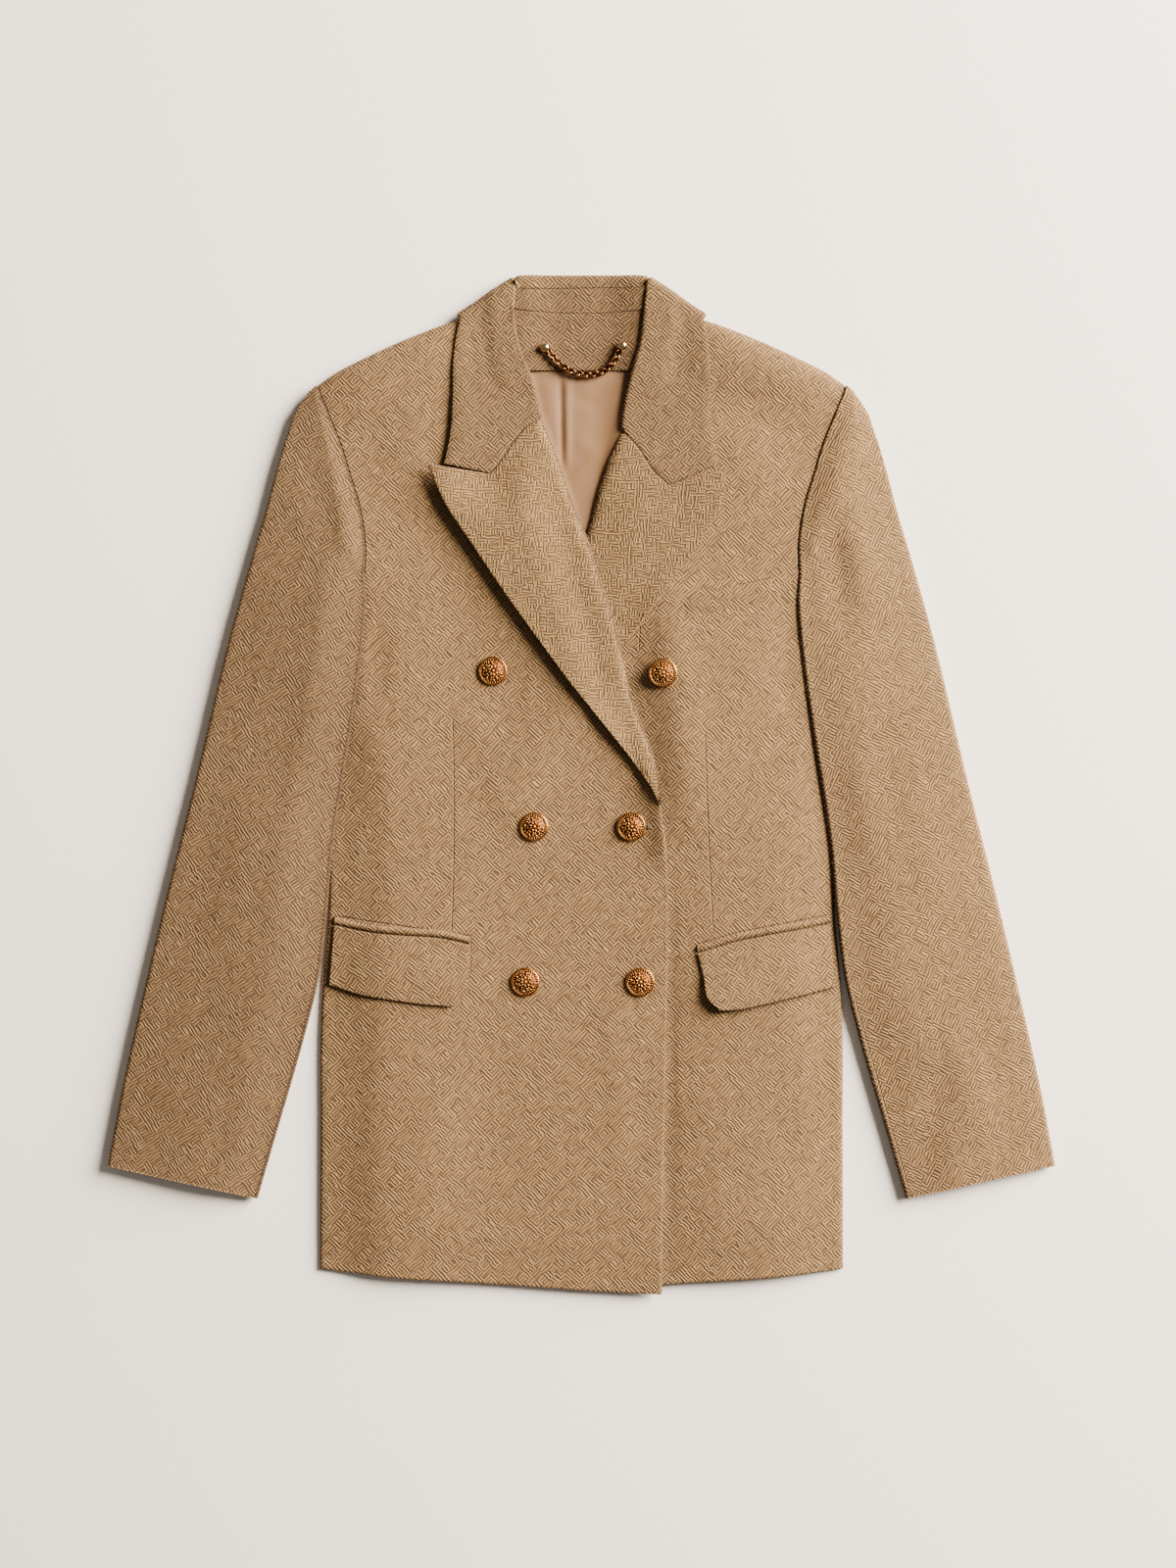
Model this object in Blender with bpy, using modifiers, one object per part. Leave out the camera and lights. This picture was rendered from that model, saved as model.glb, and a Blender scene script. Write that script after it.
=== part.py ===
# Double breasted blazer laid flat on its back, front up.
# X is the wearer's left, Y points to the collar, Z is up, and the back rests on Z = 0.
# Every table is in millimetres: "out" runs from the centre line to the garment's own side,
# "up" runs from the middle of the garment's length towards the collar.
import math

import bpy
import numpy as np

MM = 0.001
GARMENT = "double_breasted_blazer"

CLOTH = 1.6             # thickness of the coating
FACING = 1.2            # thickness of the neck facing, jets and welt
LINING = 1.0            # thickness of the satin lining
SEAM = 0.3              # gap between neighbours at a seam
REST = 0.5              # gap between a cloth and what it lies on
LOFT = 5.2              # front over back, and upper over under sleeve, middle to middle
SLEEVE_LOFT = 4.4       # the same where the sleeve lies on the body
EDGE_ROUND = 5.0        # width of the rounding at sides, shoulders and sleeve folds
EDGE_STEPS = (5.0, 2.2, 0.6)
SINK = {"right": 0.0, "left": 2.6}      # how far a front lies lower where the fronts cross
HEM_DROP = 1.2
TUCK = 7.0              # how far a front's edge lies inside the roll line of its lapel
SIDES = {"left": 1, "right": -1}        # the wearer's left lies at positive x

CELL = 2.0              # height field: cell size and half width of its square
FIELD = 460.0
NEAR, WIDE = 1, 4       # cells around a point in which cloth counts as under it
SEWN_REACH = 4.5        # width along a seam in which a piece isn't lifted by its neighbour
LIFT_SPREADS = 3        # how often a lift is spread to the neighbouring points
LIFT_PASSES = 4

SIDE_ROWS = 8           # rows and columns of the cloth grids
SCYE_ROWS = 2
ARMHOLE_ROWS = 7
SLEEVE_ROWS = 12
LAPEL_ROWS = 10
GORGE_COLUMNS = 4
PEAK_COLUMNS = 3
COLLAR_ROWS = 7
FOLD_STEPS = 5
UNDER_ROWS = 6
HOOK_ARC = 4

# Body side from the hem to the underarm: out, up.
SIDE = ((213.2, -394.8), (212.8, -279.6), (212.6, -199.6), (210.6, -159.6), (206.4, -107.6),
        (205.6, -79.6), (208.0, -23.6), (217.6, 48.4), (229.6, 124.4))
# Scye bottom, under the sleeve: out, up.
SCYE = ((229.6, 124.4), (202.0, 134.0), (184.0, 152.0), (176.8, 172.4))
# Armhole seam from the scye bottom to the shoulder point: out, up.
ARMHOLE = ((176.8, 172.4), (176.0, 192.4), (178.2, 212.4), (182.4, 232.4), (188.8, 252.4),
           (196.0, 276.4), (204.0, 296.4), (215.5, 324.4))
# Shoulder seam from the neck point out: out, up.
SHOULDER = ((64.0, 393.4), (80.0, 387.0), (100.0, 378.6), (108.0, 376.2), (141.6, 363.6),
            (163.2, 354.0), (183.2, 344.4), (201.2, 334.8), (215.5, 324.4))
# Outer sleeve fold from the shoulder point to the cuff: out, up.
SLEEVE_HEAD = ((221.0, 320.0), (227.2, 310.8), (232.0, 303.6), (237.6, 288.4), (247.6, 256.4),
               (256.0, 224.4), (266.8, 188.0))
SLEEVE_OUTER = ((266.8, 188.0), (283.6, 128.4), (314.4, 0.4), (338.4, -95.6), (353.6, -159.6),
                (374.8, -255.6), (385.2, -310.8))
# Inner sleeve fold from the scye bottom to the cuff: out, up.
SLEEVE_INNER = ((176.8, 172.4), (175.4, 150.0), (176.8, 128.4), (182.4, 80.4), (189.6, 32.4),
                (196.8, -11.6), (202.4, -50.0), (207.2, -103.6), (214.4, -159.6),
                (226.4, -207.6), (249.6, -287.6), (264.0, -337.2))

# Front edge from the hem to the break of the lapel: out, up. Both fronts cross the centre.
FRONT_EDGE = ((-65.2, -415.4), (-66.8, -319.6), (-68.4, -239.6), (-69.8, -159.6),
              (-70.0, -79.6), (-68.6, -44.0), (-64.8, -16.0), (-64.0, -8.0))
# Hem from the front edge to the side, by side: out, up. The left front is shorter under the lap.
HEM = {
    "right": ((-65.2, -415.4), (0.0, -412.2), (52.0, -408.4), (95.0, -405.6), (148.0, -402.2),
              (213.2, -394.8)),
    "left": ((-65.4, -405.4), (-30.0, -407.6), (0.0, -409.2), (30.0, -409.6), (52.0, -408.6),
             (95.0, -405.6), (148.0, -402.2), (213.2, -394.8)),
}
# Roll line from the break to the gorge, by side: out, up.
ROLL = {
    "right": ((-64.0, -8.0), (-62.0, 6.0), (-49.1, 38.8), (-39.9, 73.2), (-32.4, 112.0),
              (-24.8, 140.6), (-14.7, 170.0), (-3.6, 203.6), (8.9, 234.8), (18.0, 262.0),
              (32.4, 298.0)),
    "left": ((-64.0, -8.0), (-62.0, 6.0), (-49.1, 38.8), (-39.9, 73.2), (-31.0, 112.0),
             (-22.6, 140.6), (-12.0, 170.0), (3.4, 203.6), (13.6, 241.6), (22.6, 268.4),
             (31.6, 288.7)),
}
# Roll line of the collar from the gorge to the neck corner, by side: out, up.
NECK_ROLL = {
    "right": ((32.4, 298.0), (34.8, 306.8), (43.2, 337.2), (51.6, 358.3), (56.0, 387.6),
              (55.1, 408.3)),
    "left": ((31.6, 288.7), (33.5, 306.0), (40.5, 337.0), (47.6, 361.0), (51.6, 387.6),
             (55.1, 408.3)),
}
# Seam between lapel and collar, from the roll line to the notch, by side: out, up.
GORGE = {
    "right": ((32.4, 298.0), (42.8, 292.4), (54.0, 281.0), (65.2, 264.0), (74.0, 252.8)),
    "left": ((31.6, 288.7), (40.0, 281.0), (48.4, 270.8), (58.5, 255.0), (70.8, 243.8)),
}
LAPEL_TIP = {"right": (125.4, 260.6), "left": (118.0, 257.2)}
# Outer edge of the lapel from the break to the tip, by side: out, up.
LAPEL_EDGE = {
    "right": ((-54.5, -5.5), (-43.5, 11.5), (-25.6, 34.8), (9.2, 80.4), (42.6, 127.1),
              (65.2, 158.8), (87.6, 192.4), (112.4, 230.4), (125.4, 260.6)),
    "left": ((-54.5, -5.5), (-43.5, 11.5), (-25.6, 34.8), (6.0, 75.0), (32.4, 111.6),
             (47.2, 129.3), (69.7, 160.8), (87.6, 185.4), (103.4, 207.9), (114.6, 230.4),
             (118.0, 257.2)),
}
COLLAR_POINT = (112.0, 260.5)
# Outer edge of the collar from its point to the shoulder: out, up.
COLLAR_EDGE = ((112.0, 260.5), (106.6, 288.0), (105.0, 315.6), (104.6, 342.8), (102.6, 362.0),
               (99.1, 378.8))
COLLAR_HEIGHT = 9.4      # middle of the collar above the table where it turns over
COLLAR_SPRING = 2.0      # how far its outer edge stands higher
NECK_CORNER = (55.1, 408.3)
FOLD_NORMAL = np.array((0.566, 0.825))      # out of the shoulder fold
SHOULDER_AXIS = np.array((-0.825, 0.566))   # along the fold, towards the neck
# Levels at which a lapel's middle is given, and its height there, by side.
LAPEL_UPS = (-8.0, 120.0, 190.0, 240.0)
LAPEL_LEVELS = {"right": (8.4, 9.6, 10.4, 9.4), "left": (6.6, 6.6, 7.4, 9.4)}
LAPEL_SPRING = {"right": 5.0, "left": 1.6}  # how far its outer edge stands higher
# Section of the collar's inner edge: angle it turns, how far out and in, and a flat run after.
HOOKS = {
    "front": {"turn": math.pi / 2, "reach": 4.2, "depth": 3.0, "run": 0.4},
    "corner": {"turn": 0.5, "reach": 1.2, "depth": 0.15, "run": 0.2},
    "back": {"turn": math.pi, "reach": 2.0, "depth": 4.0, "run": 9.4},
}
# Collar under the back, from the shoulder fold to the centre: inner and outer edge, out, up.
UNDER_ROLL = ((55.1, 408.3), (45.0, 409.8), (30.0, 411.8), (0.0, 412.4))
UNDER_EDGE = ((99.1, 378.8), (80.0, 370.6), (50.0, 365.0), (0.0, 363.6))
# Back neck seam from the centre out: out, up.
BACK_NECK = ((0.0, 386.8), (30.0, 387.4), (50.0, 389.6), (64.0, 393.4))
# Lower and upper edge of the stand's inner band, from the centre out: out, up.
STAND_LOW = ((0.0, 387.4), (30.0, 388.4), (49.0, 390.8))
STAND_HIGH = ((0.0, 402.4), (18.0, 402.2), (28.0, 404.2), (38.0, 406.0), (49.0, 403.0))
STAND_HEIGHT = 4.8
FACING_LOW = ((0.0, 337.2), (53.0, 337.2))
# Lining that shows below the facing, right to left: x, up.
LINING_EDGES = {
    "right": ((-12.0, 180.0), (-18.0, 215.0), (-34.0, 262.0), (-47.0, 300.0), (-56.0, 336.9)),
    "left": ((20.0, 180.0), (24.0, 215.0), (34.0, 262.0), (45.0, 300.0), (55.0, 336.9)),
    "low": ((-12.0, 180.0), (20.0, 180.0)),
    "top": ((-56.0, 336.9), (55.0, 336.9)),
}
BACK_HEM = ((0.15, -409.0), (110.0, -402.6), (213.2, -394.8))

# Pocket flap by side: top edge and lower edge front to side, and its front end: out, up.
FLAP = {
    "right": {"top": ((91.1, -130.4), (100.4, -127.8), (118.0, -124.6), (145.4, -122.8),
                      (177.4, -119.6), (202.0, -114.2)),
              "low": ((105.0, -181.0), (127.0, -179.3), (154.5, -175.6), (182.0, -171.0),
                      (206.0, -163.4)),
              "front": ((91.1, -130.4), (92.4, -150.0), (96.4, -172.0), (105.0, -181.0))},
    "left": {"top": ((93.8, -137.2), (106.3, -133.4), (123.8, -128.1), (145.0, -123.6),
                     (174.2, -118.4), (202.6, -113.0)),
             "low": ((112.0, -184.2), (125.7, -183.6), (145.0, -179.9), (174.2, -173.1),
                     (206.4, -165.0)),
             "front": ((93.8, -137.2), (98.4, -155.0), (103.0, -176.0), (112.0, -184.2))},
}
FLAP_CLOTH = 1.6
FLAP_SPRING = {"right": 0.8, "left": 2.4}   # how far its front corner stands off
JET_WIDTH = 5.6
WELT_CLOTH = 1.0
# Chest welt, its four corners on the wearer's left: out, up.
WELT = ((74.8, 122.0), (151.6, 138.2), (155.2, 167.4), (74.8, 150.2))

# Centres of the buttons in pairs from the chest down, right then left: x, up.
BUTTONS = ((-72.4, 92.4), (66.0, 90.8), (-38.8, -34.4), (40.4, -34.4), (-46.0, -160.8),
           (47.6, -160.8))
# Button profile from the crown to the foot of the shank: radius, height.
BUTTON_PROFILE = ((0.0, 7.6), (4.4, 7.2), (8.2, 5.9), (10.4, 4.3), (11.7, 3.4), (11.8, 2.4),
                  (9.6, 2.0), (4.0, 1.6), (3.2, 0.0), (0.0, 0.0))
BUTTON_SIDES = 20

STUDS = ((-30.0, 355.6), (33.2, 357.2))
STUD_PROFILE = ((0.0, 5.6), (1.6, 5.3), (2.9, 4.2), (3.5, 2.8), (2.9, 1.3), (2.0, 0.0),
                (0.0, 0.0))
# Chain from stud to stud over its lowest point: x, up.
CHAIN = ((-25.6, 352.6), (-19.0, 345.6), (-8.0, 337.4), (4.6, 334.4), (16.0, 337.2),
         (25.0, 344.6), (29.4, 352.2))
CHAIN_RADIUS = 2.7
CHAIN_HEIGHT = 9.5

COATING = {"colour": (0.42, 0.29, 0.16, 1.0), "roughness": 0.9, "metallic": 0.0}
SATIN = {"colour": (0.48, 0.33, 0.24, 1.0), "roughness": 0.4, "metallic": 0.0}
ANTIQUE_GOLD = {"colour": (0.55, 0.27, 0.09, 1.0), "roughness": 0.35, "metallic": 1.0}


# ---- curves and grids ----

def smooth(points, steps=16):
    """Dense points on a smooth curve through the given ones."""
    knots = np.array(points, float)
    spans = np.linalg.norm(np.diff(knots, axis=0), axis=1)
    slopes = np.diff(knots, axis=0) / spans[:, None]
    tangents = np.vstack((slopes[:1], slopes[1:], slopes[-1:]))
    before, after = spans[:-1, None], spans[1:, None]
    tangents[1:-1] = (slopes[1:] * before + slopes[:-1] * after) / (before + after)
    t = np.linspace(0.0, 1.0, steps, endpoint=False)[:, None]
    curve = []
    for k, span in enumerate(spans):
        curve.append((2 * t**3 - 3 * t**2 + 1) * knots[k] + (t**3 - 2 * t**2 + t) * span * tangents[k]
                     + (3 * t**2 - 2 * t**3) * knots[k + 1] + (t**3 - t**2) * span * tangents[k + 1])
    return np.vstack(curve + [knots[-1:]])


def spaced(curve, count):
    """Points at even lengths along a curve: count intervals, or the given shares of it."""
    shares = np.linspace(0.0, 1.0, count + 1) if isinstance(count, int) else np.array(count)
    along = np.concatenate(([0.0], np.cumsum(np.linalg.norm(np.diff(curve, axis=0), axis=1))))
    return np.column_stack([np.interp(shares * along[-1], along, curve[:, k])
                            for k in range(curve.shape[1])])


def joined(*runs):
    """Runs of points end to end, without repeating the ends that they share."""
    return np.vstack([runs[0]] + [run[1:] for run in runs[1:]])


def patch(left, right, bottom, top):
    """Grid of rows between two edges, its first and last row on the other two."""
    rows, columns = len(left), len(bottom)
    run = [np.concatenate(([0.0], np.cumsum(np.linalg.norm(np.diff(edge, axis=0), axis=1))))
           for edge in (left, right, bottom, top)]
    v = ((run[0] / run[0][-1] + run[1] / run[1][-1]) / 2).reshape(rows, 1, 1)
    u = ((run[2] / run[2][-1] + run[3] / run[3][-1]) / 2).reshape(1, columns, 1)
    corners = ((1 - u) * (1 - v) * bottom[0] + u * (1 - v) * bottom[-1]
               + (1 - u) * v * top[0] + u * v * top[-1])
    return ((1 - v) * bottom[None] + v * top[None] + (1 - u) * left[:, None]
            + u * right[:, None] - corners)


def edge_columns(grid, last=True):
    """Adds columns close to the grid's last (or first) edge, where the cloth rounds over."""
    if not last:
        return edge_columns(grid[:, ::-1])[:, ::-1]
    edge, inner = grid[:, -1], grid[:, -2]
    width = np.linalg.norm(inner - edge, axis=1)
    extra = [edge + (inner - edge) * np.minimum(step / width, share)[:, None]
             for step, share in zip(EDGE_STEPS, (0.75, 0.5, 0.25))]
    return np.concatenate((grid[:, :-1], np.stack(extra, axis=1), grid[:, -1:]), axis=1)


def edge_rows(grid):
    """The same along the last row."""
    return edge_columns(grid.transpose(1, 0, 2)).transpose(1, 0, 2)


def distance(points, curve):
    """Distance of each point to a curve of straight pieces."""
    flat = points.reshape(-1, 1, 2)
    start, step = curve[None, :-1], np.diff(curve, axis=0)[None]
    along = np.clip(((flat - start) * step).sum(2) / (step**2).sum(2), 0.0, 1.0)
    gaps = np.linalg.norm(flat - start - step * along[..., None], axis=2)
    return gaps.min(axis=1).reshape(points.shape[:-1])


def ease(value, low, high):
    """Smooth step from 0 at low to 1 at high."""
    t = np.clip((value - low) / (high - low), 0.0, 1.0)
    return t * t * (3 - 2 * t)


def rounding(gap, width=EDGE_ROUND):
    """Share of the full height at a distance from a rounded edge: a quarter ellipse."""
    return np.sqrt(1 - (1 - np.clip(gap / width, 0.0, 1.0)) ** 2)


def mirrored(points, side):
    """Turns out into x: the wearer's right lies at negative x."""
    sign = np.ones(points.shape[-1])
    sign[0] = SIDES[side]
    return points * sign


# ---- the cloth laid so far ----

class Pile:
    """Height of the cloth laid so far, on a square grid of cells over the table."""

    def __init__(self):
        count = int(2 * FIELD / CELL)
        self.top = np.zeros((count, count))
        self.cover = {NEAR: self.top, WIDE: self.top}

    def cells(self, points):
        """Cell indices of plan points."""
        index = np.clip(((points + FIELD) / CELL).astype(int), 0, len(self.top) - 1)
        return index[..., 0], index[..., 1]

    def under(self, points, sewn=None, reach=NEAR):
        """Height of the cloth near each point, apart from what the point is sewn to."""
        height = self.cover[reach][self.cells(points)]
        if sewn is None:
            return height
        return np.where(distance(points, sewn) < SEWN_REACH + reach * CELL, 0.0, height)

    def lay(self, grid, thickness):
        """Adds a sheet, given by its middle."""
        points = np.vstack([spread for _, spread, _ in triangle_points(grid)])
        np.maximum.at(self.top, self.cells(points[:, :2]), points[:, 2] + thickness / 2)
        spread = self.top
        for reach in range(1, WIDE + 1):
            for axis in (0, 1):
                around = np.maximum(np.roll(spread, 1, axis), np.roll(spread, -1, axis))
                spread = np.maximum(spread, around)
            if reach in self.cover:
                self.cover[reach] = spread

    def settle(self, plan, height, thickness, share=1.0, gap=REST, sewn=None):
        """Lifts a sheet's middle, at its own height, clear of the cloth under it.

        share is 1 in the open and falls to 0 at a rounded edge, where the cloth turns down
        until its rim stands just clear of what is below.
        """
        share = np.broadcast_to(share, plan.shape[:2])
        below = self.under(plan, sewn)
        edge = np.where(below > 0.0, below + gap, 0.0)
        near = self.under(plan, sewn, WIDE)
        lift = np.where(near > 0.0, np.maximum(near + gap + thickness / 2 - height, 0.0), 0.0)
        for _ in range(LIFT_SPREADS):
            lift = np.maximum(lift, 0.85 * neighbour_mean(lift))
        sheet = np.dstack((plan, edge + (height + lift - edge) * share))
        for last in (False,) * LIFT_PASSES + (True,):
            lift = np.zeros(plan.shape[:2])
            for cells, spread, weights in triangle_points(sheet):
                clear = gap + thickness / 2 * min(share[cell] for cell in cells)
                below = self.under(spread[:, :2], sewn)
                need = np.where(below > 0.0, below + clear - spread[:, 2], 0.0)
                worst = need.argmax()
                if need[worst] <= 0.0:
                    continue
                parts = np.ones(3) if last else weights[worst] / (weights[worst] ** 2).sum()
                for cell, part in zip(cells, parts):
                    lift[cell] = max(lift[cell], need[worst] * part)
            sheet[..., 2] += lift
        return sheet


def neighbour_mean(values):
    """Mean of the four neighbours of each value."""
    wide = np.pad(values, 1, mode="edge")
    return (wide[:-2, 1:-1] + wide[2:, 1:-1] + wide[1:-1, :-2] + wide[1:-1, 2:]) / 4


def lattice(count):
    """Shares of three corners at evenly spread points of a triangle."""
    return np.array([(i, j, count - i - j) for i in range(count + 1)
                     for j in range(count + 1 - i)], float) / count


LATTICES = {count: lattice(count) for count in range(1, 41)}


def triangle_points(grid):
    """Each triangle of a grid: its corners' indices, points spread over it, and their shares."""
    for r in range(grid.shape[0] - 1):
        for c in range(grid.shape[1] - 1):
            for cells in (((r, c), (r, c + 1), (r + 1, c + 1)),
                          ((r, c), (r + 1, c + 1), (r + 1, c))):
                corners = np.array([grid[cell] for cell in cells])
                longest = np.abs(corners[:, :2] - np.roll(corners[:, :2], 1, axis=0)).max()
                shares = LATTICES[min(40, int(longest / 1.4) + 1)]
                yield cells, shares @ corners, shares


# ---- objects ----

def finish(name, look):
    """Material with the given look."""
    material = bpy.data.materials.new(name)
    material.use_nodes = True
    shader = material.node_tree.nodes["Principled BSDF"]
    shader.inputs["Base Color"].default_value = look["colour"]
    shader.inputs["Roughness"].default_value = look["roughness"]
    shader.inputs["Metallic"].default_value = look["metallic"]
    material.diffuse_color = look["colour"]
    return material


def place(name, data, material):
    """Object in the garment's collection."""
    piece = bpy.data.objects.new(name, data)
    piece.data.materials.append(material)
    garment.objects.link(piece)
    return piece


def sheet(name, grid, thickness, material):
    """Cloth wall: an open surface through the grid, thickened evenly to both sides."""
    rows, columns = grid.shape[:2]
    faces = []
    for r in range(rows - 1):
        for c in range(columns - 1):
            k = r * columns + c
            faces += [(k, k + 1, k + columns + 1), (k, k + columns + 1, k + columns)]
    mesh = bpy.data.meshes.new(name)
    mesh.from_pydata((grid.reshape(-1, 3) * MM).tolist(), [], faces)
    wall = place(name, mesh, material).modifiers.new("wall", "SOLIDIFY")
    wall.thickness = thickness * MM
    wall.offset = 0.0
    wall.use_rim = True


def turned(name, profile, sides, centre, material):
    """Round solid from a profile of radius and height, crown first."""
    mesh = bpy.data.meshes.new(name)
    points = [(radius * MM, 0.0, height * MM) for radius, height in profile]
    mesh.from_pydata(points, [(k, k + 1) for k in range(len(points) - 1)], [])
    piece = place(name, mesh, material)
    piece.location = [value * MM for value in centre]
    turn = piece.modifiers.new("turn", "SCREW")
    turn.steps = sides
    turn.render_steps = sides
    turn.use_merge_vertices = True
    turn.merge_threshold = 0.00001
    turn.use_smooth_shade = True


# ---- body ----

def rising(curve, levels):
    """Points of a rising curve at the given levels."""
    return np.column_stack((np.interp(levels, curve[:, 1], curve[:, 0]), levels))


def body_side():
    """Side seam, scye bottom and armhole, hem to shoulder."""
    return joined(spaced(smooth(SIDE), SIDE_ROWS), spaced(smooth(SCYE), SCYE_ROWS),
                  spaced(smooth(ARMHOLE), ARMHOLE_ROWS))


def inner_levels(side_edge, low, high):
    """Levels of the rows at the centre or front edge, which climb with the side's."""
    known = (SIDE[0][1], SCYE[0][1], ARMHOLE[0][1], ARMHOLE[-1][1])
    levels = np.interp(side_edge[:, 1], known, (low, 112.0, 166.0, high))
    levels[0] = low
    return levels


def back_plan():
    """Back panel from the centre seam to the side, hem to neck and shoulder."""
    outer = body_side()
    levels = inner_levels(outer, BACK_HEM[0][1], BACK_NECK[0][1])
    centre = np.column_stack((np.full(len(levels), SEAM / 2), levels))
    neck = joined(spaced(smooth(BACK_NECK), 3), spaced(smooth(SHOULDER), 4))
    neck[0, 0] = SEAM / 2
    return patch(centre, outer, spaced(smooth(BACK_HEM), 7), neck)


def tucked(side):
    """Front edge of a front: visible below the break, and tucked under the roll above it."""
    roll = joined(smooth(ROLL[side]), smooth(NECK_ROLL[side][:-1]))
    run = np.gradient(roll, axis=0)
    normal = np.column_stack((run[:, 1], -run[:, 0])) / np.linalg.norm(run, axis=1)[:, None]
    roll = roll + normal * (TUCK * ease(roll[:, 1], -8.0, 24.0))[:, None]
    return joined(smooth(FRONT_EDGE), roll[roll[:, 1] < 386.0], np.array(SHOULDER[:1]))


def front_plan(side):
    """Front panel from its front edge to the side, hem to shoulder."""
    outer = body_side()
    inner = rising(tucked(side), inner_levels(outer, HEM[side][0][1], SHOULDER[0][1]))
    plan = patch(inner, outer, spaced(smooth(HEM[side]), 9), spaced(smooth(SHOULDER), 9))
    return edge_rows(edge_columns(plan))


def front_height(side, plan):
    """Height of a front's middle: the left one sinks where the right one crosses it."""
    out, up = plan[..., 0], plan[..., 1]
    sunk = SINK[side] * (1 - ease(out, 20.0, 110.0))
    hem = HEM_DROP * (1 - ease(up - np.interp(out, *zip(*HEM[side])), 0.0, 45.0))
    return CLOTH / 2 + LOFT - sunk - hem


def front_share(plan):
    """Rounding of a front towards the side and the shoulder."""
    edge = rounding(distance(plan, smooth(SHOULDER)))
    return np.minimum(edge, rounding(distance(plan, smooth(SIDE))))


def lay_sheet(name, side, plan, height, thickness, material, share=1.0, sewn=None, gap=REST):
    """Settles one sheet on the pile, adds it to the pile and makes its object."""
    placed = mirrored(plan, side)
    sewn = None if sewn is None else mirrored(sewn, side)
    grid = pile.settle(placed, height, thickness, share, gap, sewn)
    pile.lay(grid, thickness)
    sheet(name, grid, thickness, material)
    return grid


# ---- lapels and collar ----

def lapel_plan(side):
    """Lapel from its roll line to its edge, break to gorge and peak."""
    top_edge = np.array((GORGE[side][-1], LAPEL_TIP[side]))
    top = joined(spaced(smooth(GORGE[side]), GORGE_COLUMNS), spaced(top_edge, PEAK_COLUMNS))
    bottom = spaced(np.array((ROLL[side][0], LAPEL_EDGE[side][0])), GORGE_COLUMNS + PEAK_COLUMNS)
    inner = spaced(smooth(ROLL[side]), LAPEL_ROWS)
    outer = spaced(smooth(LAPEL_EDGE[side]), LAPEL_ROWS)
    return edge_columns(patch(inner, outer, bottom, top), last=False)


def lapel_height(side, plan):
    """Height of a lapel's middle: it meets the collar, and the right one's edge springs up."""
    up = plan[..., 1]
    base = np.interp(up, LAPEL_UPS, LAPEL_LEVELS[side])
    off_roll = ease(distance(plan, smooth(ROLL[side])), 8.0, 70.0)
    off_gorge = ease(distance(plan, smooth(GORGE[side])), 0.0, 45.0)
    return base + LAPEL_SPRING[side] * off_roll * off_gorge * ease(up, -10.0, 60.0)


def lapel_share(side, plan):
    """Rounding of a lapel towards its roll line, which opens out flat at the break."""
    flat = 1 - ease(plan[..., 1], -8.0, 44.0)
    return np.maximum(rounding(distance(plan, smooth(ROLL[side]))), flat)


def collar_height(side, plan):
    """Height of the collar's middle on the front: its outer edge stands a little higher."""
    off_roll = ease(distance(plan, smooth(NECK_ROLL[side])), 20.0, 75.0)
    off_gorge = ease(distance(plan, smooth(GORGE[side])), 0.0, 45.0)
    return COLLAR_HEIGHT + COLLAR_SPRING * off_roll * off_gorge * (1 - ease(plan[..., 1], 300.0, 365.0))


def hook(first, second="corner", share=0.0, run_share=0.0):
    """Section of the collar's inner edge between two kinds: towards the neck, and into the fold."""
    start, end = HOOKS[first], HOOKS[second]
    turn, reach, depth = [start[key] + (end[key] - start[key]) * share
                          for key in ("turn", "reach", "depth")]
    run = start["run"] + (end["run"] - start["run"]) * run_share
    steps = np.linspace(0.0, turn, HOOK_ARC + 1)[1:]
    into = depth / (1 - math.cos(turn))
    arc = np.column_stack((reach * np.sin(steps), into * (1 - np.cos(steps))))
    tip = arc[-1] + run * np.array((math.cos(turn), math.sin(turn)))
    return np.vstack((arc, tip))[::-1]


def with_hook(row, towards, into, section):
    """Adds the hook's points before a row of the fall."""
    along = section[:, :1] * np.append(towards, 0.0) + section[:, 1:] * np.array(into)
    return np.vstack((row[0] + along, row))


def collar_under_rows():
    """Fall of the collar under the back, from the shoulder fold to the centre, with its hook."""
    inner, outer = spaced(smooth(UNDER_ROLL), UNDER_ROWS), spaced(smooth(UNDER_EDGE), UNDER_ROWS)
    rows = []
    for k in range(UNDER_ROWS + 1):
        share = k / UNDER_ROWS
        row = spaced(np.array((inner[k], outer[k])), GORGE_COLUMNS + PEAK_COLUMNS)
        row = np.column_stack((row, np.full(len(row), CLOTH / 2)))
        weight = ease(share, 0.0, 0.4)
        lean = ease(share, -0.25, 0.25)
        towards = (1 - lean) * SHOULDER_AXIS + lean * np.array((0.0, 1.0))
        towards /= np.linalg.norm(towards)
        section = hook("corner", "back", weight, ease(share, 0.3, 0.6))
        rows.append(with_hook(row, towards, (0.0, 0.0, 1.0), section))
    return np.array(rows)


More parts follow.
